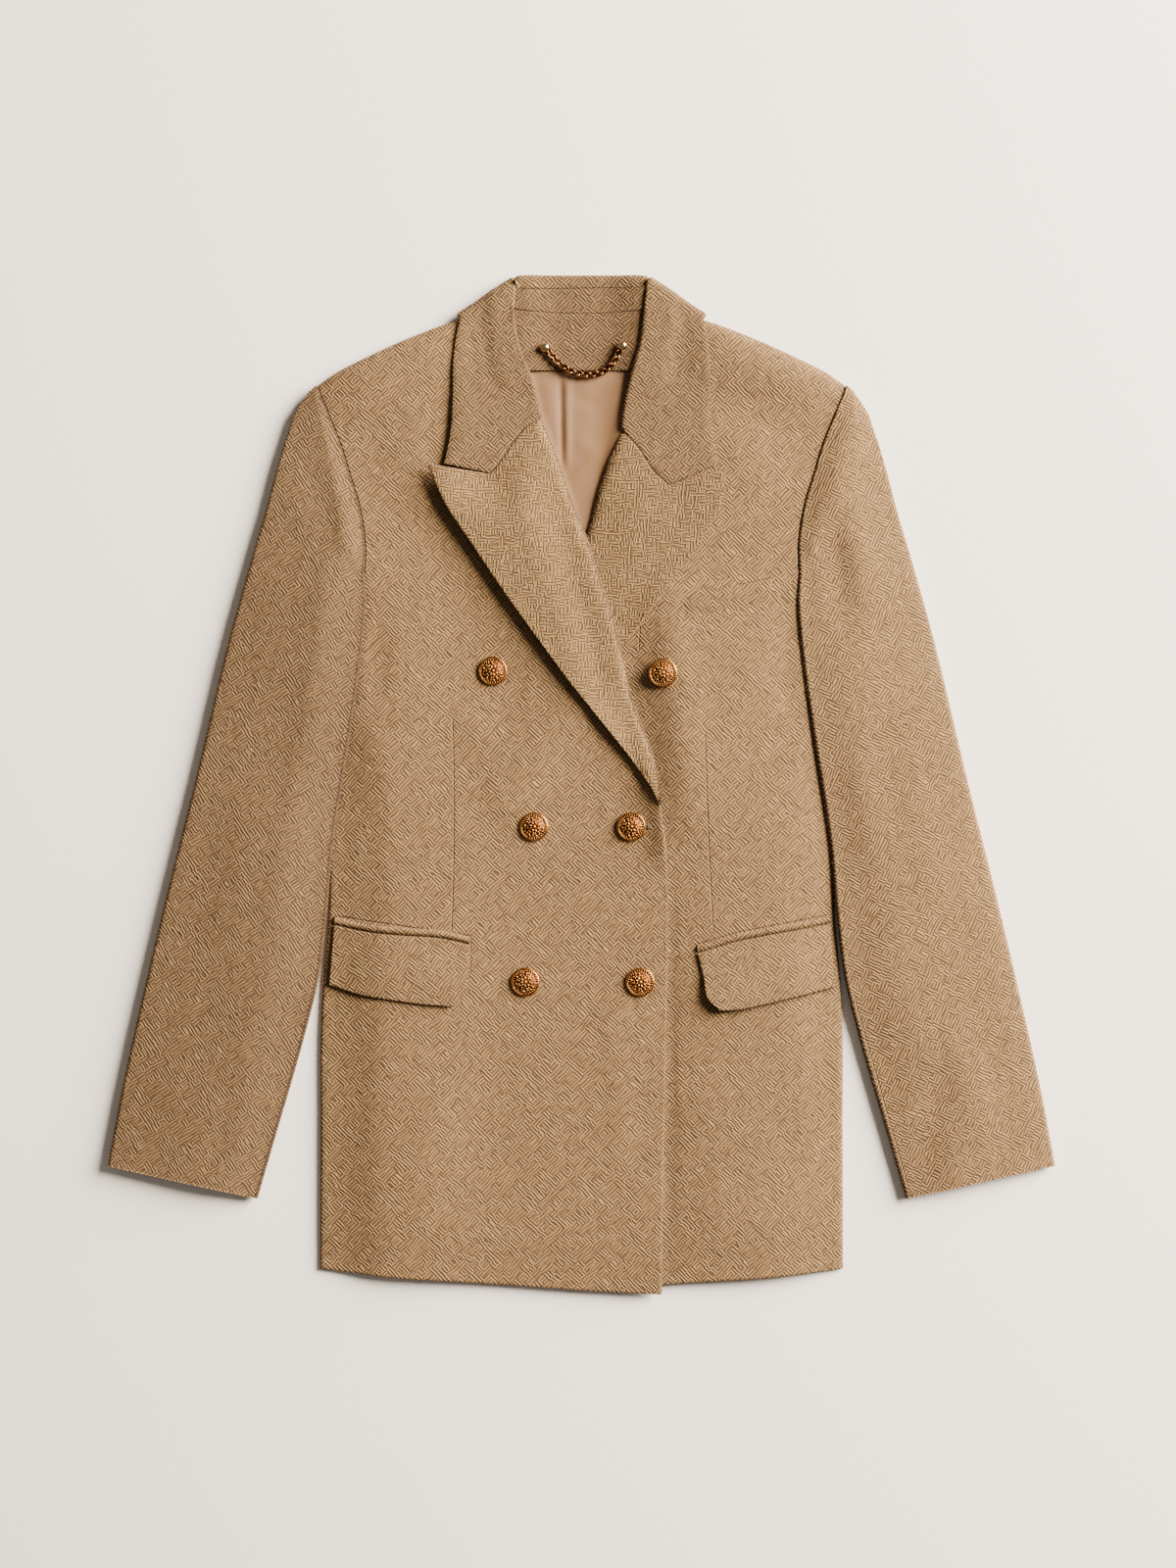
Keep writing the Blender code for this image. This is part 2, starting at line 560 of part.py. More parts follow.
def collar_front_rows(side):
    """Fall of the collar on the front, from gorge to shoulder, and its turn to the back."""
    edge = np.array((GORGE[side][-1], COLLAR_POINT))
    bottom = joined(spaced(smooth(GORGE[side]), GORGE_COLUMNS), spaced(edge, PEAK_COLUMNS))
    bottom[:, 1] += 1.3 * SEAM
    top = spaced(np.array((NECK_CORNER, COLLAR_EDGE[-1])), GORGE_COLUMNS + PEAK_COLUMNS)
    roll = spaced(smooth(NECK_ROLL[side]), COLLAR_ROWS)
    towards = np.gradient(roll, axis=0)
    towards = np.column_stack((-towards[:, 1], towards[:, 0]))
    towards /= np.linalg.norm(towards, axis=1)[:, None]
    inset = HOOKS["front"]["reach"] * (1 - ease(np.arange(COLLAR_ROWS + 1), 3.0, COLLAR_ROWS))
    roll = roll - towards * inset[:, None]
    roll[0, 1] += 1.3 * SEAM
    bottom[0] = roll[0]
    outer = spaced(smooth(COLLAR_EDGE), COLLAR_ROWS)
    outer[0] = bottom[-1]
    fall = patch(roll, outer, bottom, top)
    fall = pile.settle(mirrored(fall, side), collar_height(side, fall), CLOTH,
                       sewn=mirrored(bottom, side))
    rows = []
    for k, row in enumerate(fall):
        weight = ease(k / COLLAR_ROWS, 0.45, 1.0)
        ahead = (1 - weight) * towards[k] + weight * SHOULDER_AXIS
        ahead = mirrored(ahead / np.linalg.norm(ahead), side)
        section = hook("front", "corner", weight)
        rows.append(with_hook(row, ahead, (0.0, 0.0, -1.0), section))
    base, normal = fall[-1], mirrored(FOLD_NORMAL, side)
    radius = (base[:, 2] - CLOTH / 2) / 2
    for angle in np.linspace(0.0, math.pi, FOLD_STEPS + 1)[1:-1]:
        row = base.copy()
        row[:, :2] += normal * (radius * math.sin(angle))[:, None]
        row[:, 2] = CLOTH / 2 + radius * (1 + math.cos(angle))
        into = (*(-normal * math.sin(angle)), -math.cos(angle))
        rows.append(with_hook(row, mirrored(SHOULDER_AXIS, side), into, hook("corner")))
    return np.array(rows)


def collar():
    """The whole collar: front, shoulder turn and back on the right, then the same on the left."""
    right, left = [np.concatenate((collar_front_rows(side), mirrored(collar_under_rows(), side)))
                   for side in ("right", "left")]
    grid = np.concatenate((right, left[-2::-1]))
    sheet("collar", grid, CLOTH, coating)


def across(low, high, columns):
    """Strip from the wearer's right to left between two edges given from the centre out."""
    rows = []
    for edge in (low, high):
        half = spaced(smooth(edge), columns)
        rows.append(np.vstack((half[::-1] * (-1, 1), half[1:])))
    return np.stack((rows[0], rows[0] * 0.5 + rows[1] * 0.5, rows[1]))


# ---- sleeves ----

def sleeve_plan(columns):
    """Sleeve from its armhole seam and inner fold to its outer fold, shoulder to cuff."""
    seam = spaced(smooth(ARMHOLE), ARMHOLE_ROWS)[::-1] + (SEAM, 0.0)
    inner = joined(seam, spaced(smooth(SLEEVE_INNER), SLEEVE_ROWS) + (SEAM, 0.0))
    outer = joined(spaced(smooth(SLEEVE_HEAD), ARMHOLE_ROWS),
                   spaced(smooth(SLEEVE_OUTER), SLEEVE_ROWS))
    return patch(inner, outer, spaced(np.array((inner[0], outer[0])), columns),
                 spaced(np.array((inner[-1], outer[-1])), columns))


def sleeve(side):
    """Under sleeve on the table and the body's side, and the top sleeve over it."""
    seam = smooth(ARMHOLE)
    under = lay_sheet("under_sleeve_" + side, side, sleeve_plan(7), CLOTH / 2, CLOTH, coating,
                      sewn=seam[seam[:, 1] > 182.0])
    lower = Pile()
    lower.lay(under, CLOTH)
    plan = edge_columns(edge_columns(sleeve_plan(8)), last=False)
    outline = joined(smooth(SHOULDER), smooth(SLEEVE_HEAD), smooth(SLEEVE_OUTER))
    share = np.minimum(rounding(distance(plan, outline)),
                       rounding(distance(plan, smooth(SLEEVE_INNER))))
    plan = mirrored(plan, side)
    below = np.maximum(lower.under(plan), CLOTH) - CLOTH / 2
    loft = LOFT + (SLEEVE_LOFT - LOFT) * ease(below, 3.0, 8.0)
    grid = lower.settle(plan, below + loft, CLOTH, share)
    pile.lay(grid, CLOTH)
    sheet("top_sleeve_" + side, grid, CLOTH, coating)


# ---- small pieces ----

def pocket(side):
    """Flap and jet of a hip pocket, on the front."""
    shape = FLAP[side]
    top, low = spaced(smooth(shape["top"]), 8), spaced(smooth(shape["low"]), 8)
    end = spaced(np.array((shape["top"][-1], shape["low"][-1])), 4)
    flap = patch(spaced(smooth(shape["front"]), 4), end, top, low)
    jet = np.stack((top + (0.0, SEAM), top + (0.0, SEAM + JET_WIDTH)))
    depth = distance(flap, smooth(shape["top"]))
    spring = FLAP_SPRING[side] * ease(depth, 15.0, 55.0) * (1 - ease(flap[..., 0], 95.0, 160.0))
    height = front_height(side, flap) + CLOTH / 2 + SEAM + FLAP_CLOTH / 2 + spring
    lay_sheet("flap_" + side, side, flap, height, FLAP_CLOTH, coating, gap=SEAM + 0.1)
    height = front_height(side, jet) + CLOTH / 2 + SEAM + FACING / 2
    lay_sheet("jet_" + side, side, jet, height, FACING, coating, sewn=smooth(shape["top"]),
              gap=SEAM + 0.1)


def button(number, spot):
    """Domed button on its shank, just clear of the front."""
    height = pile.under(np.array([spot])).max() + SEAM
    turned(f"button_{number}", BUTTON_PROFILE, BUTTON_SIDES, (*spot, height), metal)


def chain():
    """Neck chain between its studs, as one rope."""
    for side, spot in zip(("right", "left"), STUDS):
        height = pile.under(np.array([spot])).max() + SEAM
        turned("chain_stud_" + side, STUD_PROFILE, 14, (*spot, height), metal)
    path = bpy.data.curves.new("hanger_chain", "CURVE")
    path.dimensions = "3D"
    path.bevel_depth = CHAIN_RADIUS * MM
    path.bevel_resolution = 2
    path.use_fill_caps = True
    line = path.splines.new("POLY")
    points = spaced(smooth(CHAIN), 15)
    line.points.add(len(points) - 1)
    for point, (x, y) in zip(line.points, points):
        point.co = (x * MM, y * MM, CHAIN_HEIGHT * MM, 1.0)
    place("hanger_chain", path, metal)


# ---- the garment, from the table up ----

for old in list(bpy.data.objects):
    bpy.data.objects.remove(old, do_unlink=True)
garment = bpy.data.collections.new(GARMENT)
bpy.context.scene.collection.children.link(garment)
coating = finish("coating", COATING)
satin = finish("satin", SATIN)
metal = finish("antique_gold", ANTIQUE_GOLD)
pile = Pile()

for half in (1, -1):
    pile.lay(collar_under_rows() * (half, 1, 1), CLOTH)
backs = {side: pile.settle(mirrored(back_plan(), side), CLOTH / 2, CLOTH) for side in SIDES}
for side, grid in backs.items():
    pile.lay(grid, CLOTH)
    sheet("back_" + side, grid, CLOTH, coating)

lining = patch(*[spaced(smooth(LINING_EDGES[edge]), count)
                 for edge, count in (("right", 7), ("left", 7), ("low", 5), ("top", 5))])
lining_grid = pile.settle(lining, 0.0, LINING)
pile.lay(lining_grid, LINING)
sheet("lining_back", lining_grid, LINING, satin)
facing = across(FACING_LOW, BACK_NECK, 5)
facing_grid = pile.settle(facing, 0.0, FACING, gap=0.4)
pile.lay(facing_grid, FACING)
sheet("neck_facing", facing_grid, FACING, coating)
stand = across(STAND_LOW, STAND_HIGH, 4)
sheet("collar_stand", np.dstack((stand, np.full(stand.shape[:2], STAND_HEIGHT))), CLOTH, coating)

for side in ("left", "right"):
    plan = front_plan(side)
    lay_sheet("front_" + side, side, plan, front_height(side, plan), CLOTH, coating,
              front_share(plan))
    plan = lapel_plan(side)
    lay_sheet("lapel_" + side, side, plan, lapel_height(side, plan), CLOTH, coating,
              lapel_share(side, plan))
collar()
for side in SIDES:
    pocket(side)
    sleeve(side)
welt = patch(*[spaced(np.array(WELT)[list(ends)], count)
               for ends, count in (((0, 3), 2), ((1, 2), 2), ((0, 1), 5), ((3, 2), 5))])
lay_sheet("chest_welt", "left", welt, 0.0, WELT_CLOTH, coating, gap=SEAM + 0.1)
for index, spot in enumerate(BUTTONS, 1):
    button(index, spot)
chain()
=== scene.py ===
# Double breasted blazer laid flat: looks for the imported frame
import math

import bpy
import numpy as np
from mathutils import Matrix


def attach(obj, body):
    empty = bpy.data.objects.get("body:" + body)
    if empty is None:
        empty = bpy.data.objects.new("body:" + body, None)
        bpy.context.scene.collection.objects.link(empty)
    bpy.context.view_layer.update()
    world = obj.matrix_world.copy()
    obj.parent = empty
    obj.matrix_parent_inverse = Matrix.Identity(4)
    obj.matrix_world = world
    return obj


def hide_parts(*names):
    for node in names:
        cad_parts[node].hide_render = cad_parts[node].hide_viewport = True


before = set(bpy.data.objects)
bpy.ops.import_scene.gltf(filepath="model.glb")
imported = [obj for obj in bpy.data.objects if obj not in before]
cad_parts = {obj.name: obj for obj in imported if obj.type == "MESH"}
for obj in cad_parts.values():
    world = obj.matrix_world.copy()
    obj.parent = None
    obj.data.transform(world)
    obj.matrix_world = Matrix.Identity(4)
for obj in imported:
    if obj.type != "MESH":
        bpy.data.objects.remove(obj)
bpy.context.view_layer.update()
sides = {"left": 1, "right": -1}   # the wearer's left lies at positive x
print("frame loaded")


def newObject(name, data):
    thing = bpy.data.objects.new(name, data)
    bpy.context.scene.collection.objects.link(thing)
    return thing


# camera, straight above the garment
cameraSetup = {"height": 3, "middle": (0.0052, 0.0004), "seenHeight": 1.28, "sensor": 36}
cameraData = bpy.data.cameras.new("overheadCamera")
cameraData.sensor_fit = "VERTICAL"
cameraData.sensor_height = cameraSetup["sensor"]
cameraData.lens = cameraSetup["sensor"] * cameraSetup["height"] / cameraSetup["seenHeight"]
overheadCamera = newObject("overheadCamera", cameraData)
overheadCamera.location = (*cameraSetup["middle"], cameraSetup["height"])
bpy.context.scene.camera = overheadCamera


# curves and grids, in millimetres
def smoothCurve(points, steps=16):
    knots = np.array(points, float)
    spans = np.linalg.norm(np.diff(knots, axis=0), axis=1)
    slopes = np.diff(knots, axis=0) / spans[:, None]
    tangents = np.vstack((slopes[:1], slopes[1:], slopes[-1:]))
    before, after = spans[:-1, None], spans[1:, None]
    tangents[1:-1] = (slopes[1:] * before + slopes[:-1] * after) / (before + after)
    t = np.linspace(0, 1, steps, endpoint=False)[:, None]
    atStart, leaving = 2 * t**3 - 3 * t**2 + 1, t**3 - 2 * t**2 + t
    atEnd, arriving = 3 * t**2 - 2 * t**3, t**3 - t**2
    curve = [atStart * knots[k] + leaving * span * tangents[k]
             + atEnd * knots[k + 1] + arriving * span * tangents[k + 1]
             for k, span in enumerate(spans)]
    return np.vstack(curve + [knots[-1:]])


def runAlong(curve):   # length of a line up to each of its points
    return np.concatenate(([0], np.cumsum(np.linalg.norm(np.diff(curve, axis=0), axis=1))))


def spacedAlong(curve, count):
    shares, along = np.linspace(0, 1, count + 1), runAlong(curve)
    return np.column_stack([np.interp(shares * along[-1], along, values) for values in curve.T])


def evenly(knots, count):
    return spacedAlong(smoothCurve(knots), count)


def lineOf(start, end, count):
    return spacedAlong(np.array((start, end)), count)


def unit(vectors):   # each made one long
    return vectors / np.maximum(np.linalg.norm(vectors, axis=-1, keepdims=True), 1e-9)


def leftOf(curve):   # square to a flat curve, to the left of the way it goes
    run = np.gradient(curve, axis=0)
    return unit(np.column_stack((-run[:, 1], run[:, 0])))


def joinRuns(*runs):
    return np.vstack([runs[0]] + [run[1:] for run in runs[1:]])


def fillPatch(left, right, bottom, top):   # rows of points between four edges
    rows, columns = len(left), len(bottom)
    run = [runAlong(edge) for edge in (left, right, bottom, top)]
    v = ((run[0] / run[0][-1] + run[1] / run[1][-1]) / 2).reshape(rows, 1, 1)
    u = ((run[2] / run[2][-1] + run[3] / run[3][-1]) / 2).reshape(1, columns, 1)
    corners = ((1 - u) * (1 - v) * bottom[0] + u * (1 - v) * bottom[-1]
               + (1 - u) * v * top[0] + u * v * top[-1])
    return ((1 - v) * bottom[None] + v * top[None] + (1 - u) * left[:, None]
            + u * right[:, None] - corners)


edgeSteps = (3.2, 2.2, 1.3)     # extra columns beside an edge, where the cloth turns over
edgeShares = (0.75, 0.5, 0.3)   # their furthest place in a narrow column


def addEdgeColumns(grid, last=True):
    if not last:
        return addEdgeColumns(grid[:, ::-1])[:, ::-1]
    edge, inner = grid[:, -1], grid[:, -2]
    width = np.maximum(np.linalg.norm(inner - edge, axis=1), 1e-6)
    extra = [edge + (inner - edge) * np.minimum(step / width, share)[:, None]
             for step, share in zip(edgeSteps, edgeShares)]
    return np.concatenate((grid[:, :-1], np.stack(extra, axis=1), grid[:, -1:]), axis=1)


def addEdges(grid, low=True):
    grid = addEdgeColumns(addEdgeColumns(grid, last=False)).transpose(1, 0, 2)
    grid = addEdgeColumns(grid, last=False) if low else grid
    return addEdgeColumns(grid).transpose(1, 0, 2)


def gapTo(points, curve):   # distance of each point to a line of straight pieces
    flat = points[..., :2].reshape(-1, 1, 2)
    start, step = curve[None, :-1], np.diff(curve, axis=0)[None]
    nearest = np.full(len(flat), 1e9)
    for begin in range(0, len(flat), 4000):   # in batches, to save memory
        part = flat[begin:begin + 4000]
        along = ((part - start) * step).sum(2) / np.maximum((step**2).sum(2), 1e-9)
        off = part - start - step * np.clip(along, 0, 1)[..., None]
        nearest[begin:begin + 4000] = np.linalg.norm(off, axis=2).min(axis=1)
    return nearest.reshape(points.shape[:-1])


def gapToKnots(points, knots):
    return gapTo(points, smoothCurve(knots))


def easeStep(value, low, high):
    t = np.clip((value - low) / (high - low), 0, 1)
    return t * t * (3 - 2 * t)


def roundOver(gap, width):   # quarter ellipse: 0 at the edge, 1 further in
    return np.sqrt(1 - (1 - np.clip(gap / width, 0, 1)) ** 2)


def toSide(points, side):
    sign = np.ones(np.shape(points)[-1])
    sign[0] = sides[side]
    return points * sign


def turned(points, turn):   # points turned about z
    c, s = math.cos(turn), math.sin(turn)
    return points @ np.array(((c, s, 0), (-s, c, 0), (0, 0, 1)))


def refined(grid, steps):
    rows, columns = grid.shape[:2]
    r = np.linspace(0, rows - 1, (rows - 1) * steps + 1)
    c = np.linspace(0, columns - 1, (columns - 1) * steps + 1)
    r0, c0 = np.minimum(r.astype(int), rows - 2), np.minimum(c.astype(int), columns - 2)
    fr, fc = (r - r0)[:, None, None], (c - c0)[None, :, None]
    low = grid[r0][:, c0] * (1 - fc) + grid[r0][:, c0 + 1] * fc
    high = grid[r0 + 1][:, c0] * (1 - fc) + grid[r0 + 1][:, c0 + 1] * fc
    return low * (1 - fr) + high * fr


def neighbourMean(values):
    wide = np.pad(values, 1, mode="edge")
    return (wide[:-2, 1:-1] + wide[2:, 1:-1] + wide[1:-1, :-2] + wide[1:-1, 2:]) / 4


# the cloth laid so far, as heights over small cells of the table
class ClothPile:
    def __init__(self):
        self.cell, self.reach = 2, 460
        count = int(2 * self.reach / self.cell)
        self.covers = [np.zeros((count, count)) for _ in range(5)]

    def cellsAt(self, points):
        index = np.clip(((points[..., :2] + self.reach) / self.cell).astype(int), 0,
                        len(self.covers[0]) - 1)
        return index[..., 0], index[..., 1]

    def under(self, points, sewnTo=None, ring=1):
        height = self.covers[ring][self.cellsAt(points)]
        if sewnTo is None:
            return height
        return np.where(gapTo(points, sewnTo) < 4.5 + ring * self.cell, 0, height)

    def lay(self, grid, thickness):
        fine = refined(grid, 4).reshape(-1, 3)
        np.maximum.at(self.covers[0], self.cellsAt(fine), fine[:, 2] + thickness / 2)
        for ring in range(1, 5):
            spread = self.covers[ring - 1]
            for axis in (0, 1):
                beside = np.maximum(np.roll(spread, 1, axis), np.roll(spread, -1, axis))
                spread = np.maximum(spread, beside)
            self.covers[ring] = spread

    def settle(self, plan, height, thickness, share=1, gap=0.5, sewnTo=None, bridge=14,
               stiff=0.96):
        share = np.broadcast_to(share, plan.shape[:2])
        below = self.under(plan, sewnTo)
        edge = np.where(below > 0, below + gap, 0)
        near = self.under(plan, sewnTo, 3)
        lift = np.where(near > 0, np.maximum(near + gap + thickness / 2 - height, 0), 0)
        for _ in range(bridge):   # stiff cloth bridges from what it lies on
            lift = np.maximum(lift, stiff * neighbourMean(lift))
        lift = neighbourMean(lift) * 0.5 + lift * 0.5
        z = edge + (height + lift - edge) * share
        floor = np.where(below > 0, below + gap + thickness / 2 * share, 0)
        return np.dstack((plan[..., :2], np.maximum(z, floor)))


pile = ClothPile()


# meshes
def makePiece(name, points, faces, materials, nodes, faceLooks):
    mesh = bpy.data.meshes.new(name)
    mesh.from_pydata((np.asarray(points) * 0.001).tolist(), [], faces)
    for material in materials:
        mesh.materials.append(material)
    mesh.polygons.foreach_set("material_index", np.asarray(faceLooks, dtype=np.int32))
    mesh.polygons.foreach_set("use_smooth", np.full(len(mesh.polygons), True))
    mesh.update()
    piece = newObject(name, mesh)
    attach(piece, "root")
    if nodes:
        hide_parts(*nodes)
    return piece


def wallMesh(grid, thickness, rimShare):   # closed wall with a rounded rim, from its middle
    across, along = np.gradient(grid, axis=1), np.gradient(grid, axis=0)
    normal = unit(np.cross(across, along))
    rows, columns = grid.shape[:2]
    ids = np.arange(rows * columns).reshape(rows, columns)
    loop = np.concatenate((ids[0, :-1], ids[:-1, -1], ids[-1, :0:-1], ids[:0:-1, 0]))
    flat, flatNormal = grid.reshape(-1, 3).copy(), normal.reshape(-1, 3)
    run = np.roll(flat[loop], -1, axis=0) - np.roll(flat[loop], 1, axis=0)
    outward = unit(np.cross(run, flatNormal[loop]))
    half = np.full((len(flat), 1), thickness / 2)
    half[loop] *= rimShare
    edge = half[loop]
    flat[loop] -= outward * edge
    rim = [flat[loop] + flatNormal[loop] * edge * math.cos(angle) + outward * edge * math.sin(angle)
           for angle in (math.pi / 4, math.pi / 2, 3 * math.pi / 4)]
    count = len(flat)
    points = np.vstack([flat + flatNormal * half, flat - flatNormal * half] + rim)
    upper = np.column_stack([part.ravel() for part in
                             (ids[:-1, :-1], ids[:-1, 1:], ids[1:, 1:], ids[1:, :-1])])
    lower = upper[:, ::-1] + count
    rings = [2 * count + k * len(loop) + np.arange(len(loop)) for k in range(3)]
    rings = [loop] + rings + [loop + count]
    sideFaces = [np.column_stack((one, two, np.roll(two, -1), np.roll(one, -1)))
                 for one, two in zip(rings, rings[1:])]
    faces = np.vstack([upper, lower] + sideFaces)
    looks = np.full(len(faces), 2, dtype=np.int32)
    looks[:len(upper)] = 0
    looks[len(upper):len(upper) + len(lower)] = 1
    return points, faces.tolist(), looks


def cutSize(grid):   # width, length and area of the flat piece of cloth
    across = np.linalg.norm(np.diff(grid, axis=1), axis=2)
    along = np.linalg.norm(np.diff(grid, axis=0), axis=2)
    a, b = grid[1:, 1:] - grid[:-1, :-1], grid[1:, :-1] - grid[:-1, 1:]
    area = np.linalg.norm(np.cross(a, b), axis=2).sum() / 2
    width, length = across.sum(axis=1).max(), along.sum(axis=0).max()
    return (round(width / 1000, 3), round(length / 1000, 3)), round(area / 1e6, 4)


def wallPiece(name, grid, thickness, outside, inside, nodes, rimShare=1,
              rim=None):
    if np.cross(np.gradient(grid, axis=1), np.gradient(grid, axis=0))[..., 2].mean() < 0:
        grid = grid[:, ::-1]
    points, faces, looks = wallMesh(grid, thickness, rimShare)
    materials = [outside, inside, rim or outside]
    return makePiece(name, points, faces, materials, nodes, looks)


def clothPiece(name, grid, thickness, outside, inside, nodes, held="laid", restsOn=(),
               slotName="coating", trims=(), rimShare=1, rim=None):
    piece = wallPiece(name, grid, thickness, outside, inside, nodes, rimShare, rim)
    return piece


def shadeAlong(piece, line, reach=2):   # faces beside a fold get the rim's material, painted shade that darkens the lit fold
    corners = np.empty(len(piece.data.vertices) * 3)
    piece.data.vertices.foreach_get("co", corners)
    gap = gapTo(corners.reshape(-1, 3) * 1000, line)
    for face in piece.data.polygons:
        if gap[list(face.vertices)].mean() < reach:
            face.material_index = 2


def creased(grid, creases):   # soft ridges (+) and troughs (-): start, end, width, height
    lift = np.zeros(grid.shape[:2])
    for x0, y0, x1, y1, width, height in creases:
        gap = gapTo(grid, np.array(((x0, y0), (x1, y1)), float))
        run = np.array((x1 - x0, y1 - y0))
        share = ((grid[..., :2] - (x0, y0)) @ run) / (run @ run)
        fade = easeStep(share, -0.25, 0.35) * (1 - easeStep(share, 0.65, 1.25))
        lift += height * np.exp(-(gap / width) ** 2) * fade
    return lift


def rolling(grid, seed, size=95):   # slow unevenness of cloth that was laid by hand
    x, y = grid[..., 0] / size, grid[..., 1] / size
    return (np.sin(1.7 * x + 0.9 * y + seed) * np.sin(1.1 * y - 0.6 * x + 2.1 * seed)
            + 0.5 * np.sin(2.9 * x - 1.3 * y + 3.7 * seed) * np.sin(2.3 * y + 1.9 * x + seed))


# materials
class NodeBoard:   # short way to place and wire shader nodes
    def __init__(self, name):
        self.material = bpy.data.materials.new(name)
        self.material.use_nodes = True
        self.tree = self.material.node_tree
        self.shader = self.tree.nodes["Principled BSDF"]
        self.place = self.add("TexCoord").outputs["Object"]

    def add(self, kind, inputs=(), **settings):
        node = self.tree.nodes.new("ShaderNode" + kind)
        for key, value in settings.items():
            setattr(node, key, value)
        for key, value in dict(inputs).items():
            self.feed(node.inputs[key], value)
        return node

    def feed(self, socket, value):
        if isinstance(value, bpy.types.NodeSocket):
            self.tree.links.new(value, socket)
        else:
            socket.default_value = (*value, 1) if socket.type == "RGBA" else value

    def math(self, operation, *values):
        return self.add("Math", dict(enumerate(values)), operation=operation).outputs[0]

    def vector(self, operation, first, key, second):
        return self.add("VectorMath", {0: first, key: second}, operation=operation).outputs[0]

    def noise(self, place, scale, detail, output="Fac"):
        inputs = {"Vector": place, "Scale": scale, "Detail": detail}
        return self.add("TexNoise", inputs).outputs[output]

    def mapped(self, place, scale, turn=0):
        inputs = {"Vector": place, "Rotation": (0, 0, turn), "Scale": scale}
        return self.add("Mapping", inputs).outputs[0]

    def blend(self, share, first, second, kind="MIX"):
        inputs = {0: share, 6: first, 7: second}
        return self.add("Mix", inputs, data_type="RGBA", blend_type=kind).outputs[2]

    def remap(self, value, low, high, newLow, newHigh, curve="LINEAR"):
        inputs = {0: value, 1: low, 2: high, 3: newLow, 4: newHigh}
        return self.add("MapRange", inputs, interpolation_type=curve).outputs[0]

    def surface(self, colour, roughness, height, strength, relief, others):
        bump = self.add("Bump", {"Strength": strength, "Distance": relief, "Height": height})
        sockets = {"Base Color": colour, "Roughness": roughness, "Normal": bump.outputs[0]}
        for name, value in {**sockets, **others}.items():
            self.feed(self.shader.inputs[name], value)
        return self.material


weave = {
    "block": 6.2,          # size of a block of parallel ridges, mm
    "ridge": 2.35,         # from ridge to ridge, mm
    "wobble": (160, 0.0012),   # how often and how far (m) the yarns stray
    "ridgeColour": (0.362, 0.203, 0.0755),
    # the grooves are far darker than the ridges: partly the yarn's colour, partly painted shade
    # deep in the grooves
    "grooveColour": (0.055, 0.0255, 0.008),
    "blockColour": (0.152, 0.082, 0.031),
    "blockShare": 0.16,    # most of it that a block gets
    "fibres": (0.8, 1.2),  # darkest and palest fibre
    # darker lines: on seams this is the seam's own colour, on the other lines it is painted shade
    "seamAndShadeColour": (0.07, 0.036, 0.014),
    "seamAndShadeShare": 0.34,
    "seamDepth": 1.5,      # in ridges
    "relief": 0.00045,     # m
    "jumble": 0.78,        # how unevenly the blocks lie, 0 to 1
    "stretch": (3.7, 0.75),   # how fast a yarn changes across and along its ridge
    "yarns": 0.2,          # how much the yarns differ in height
    "blockEnds": (0.42, 0.62, 0.62),   # where a block falls off, and how low it gets
    "clouds": ((0.93, 0.93, 0.93), (1.07, 1.065, 1.06)),
    "roughness": 0.86,
    "shine": {"Specular IOR Level": 0.25, "Sheen Weight": 0.05, "Sheen Roughness": 0.5,
              "Sheen Tint": (0.85, 0.62, 0.38)},
}


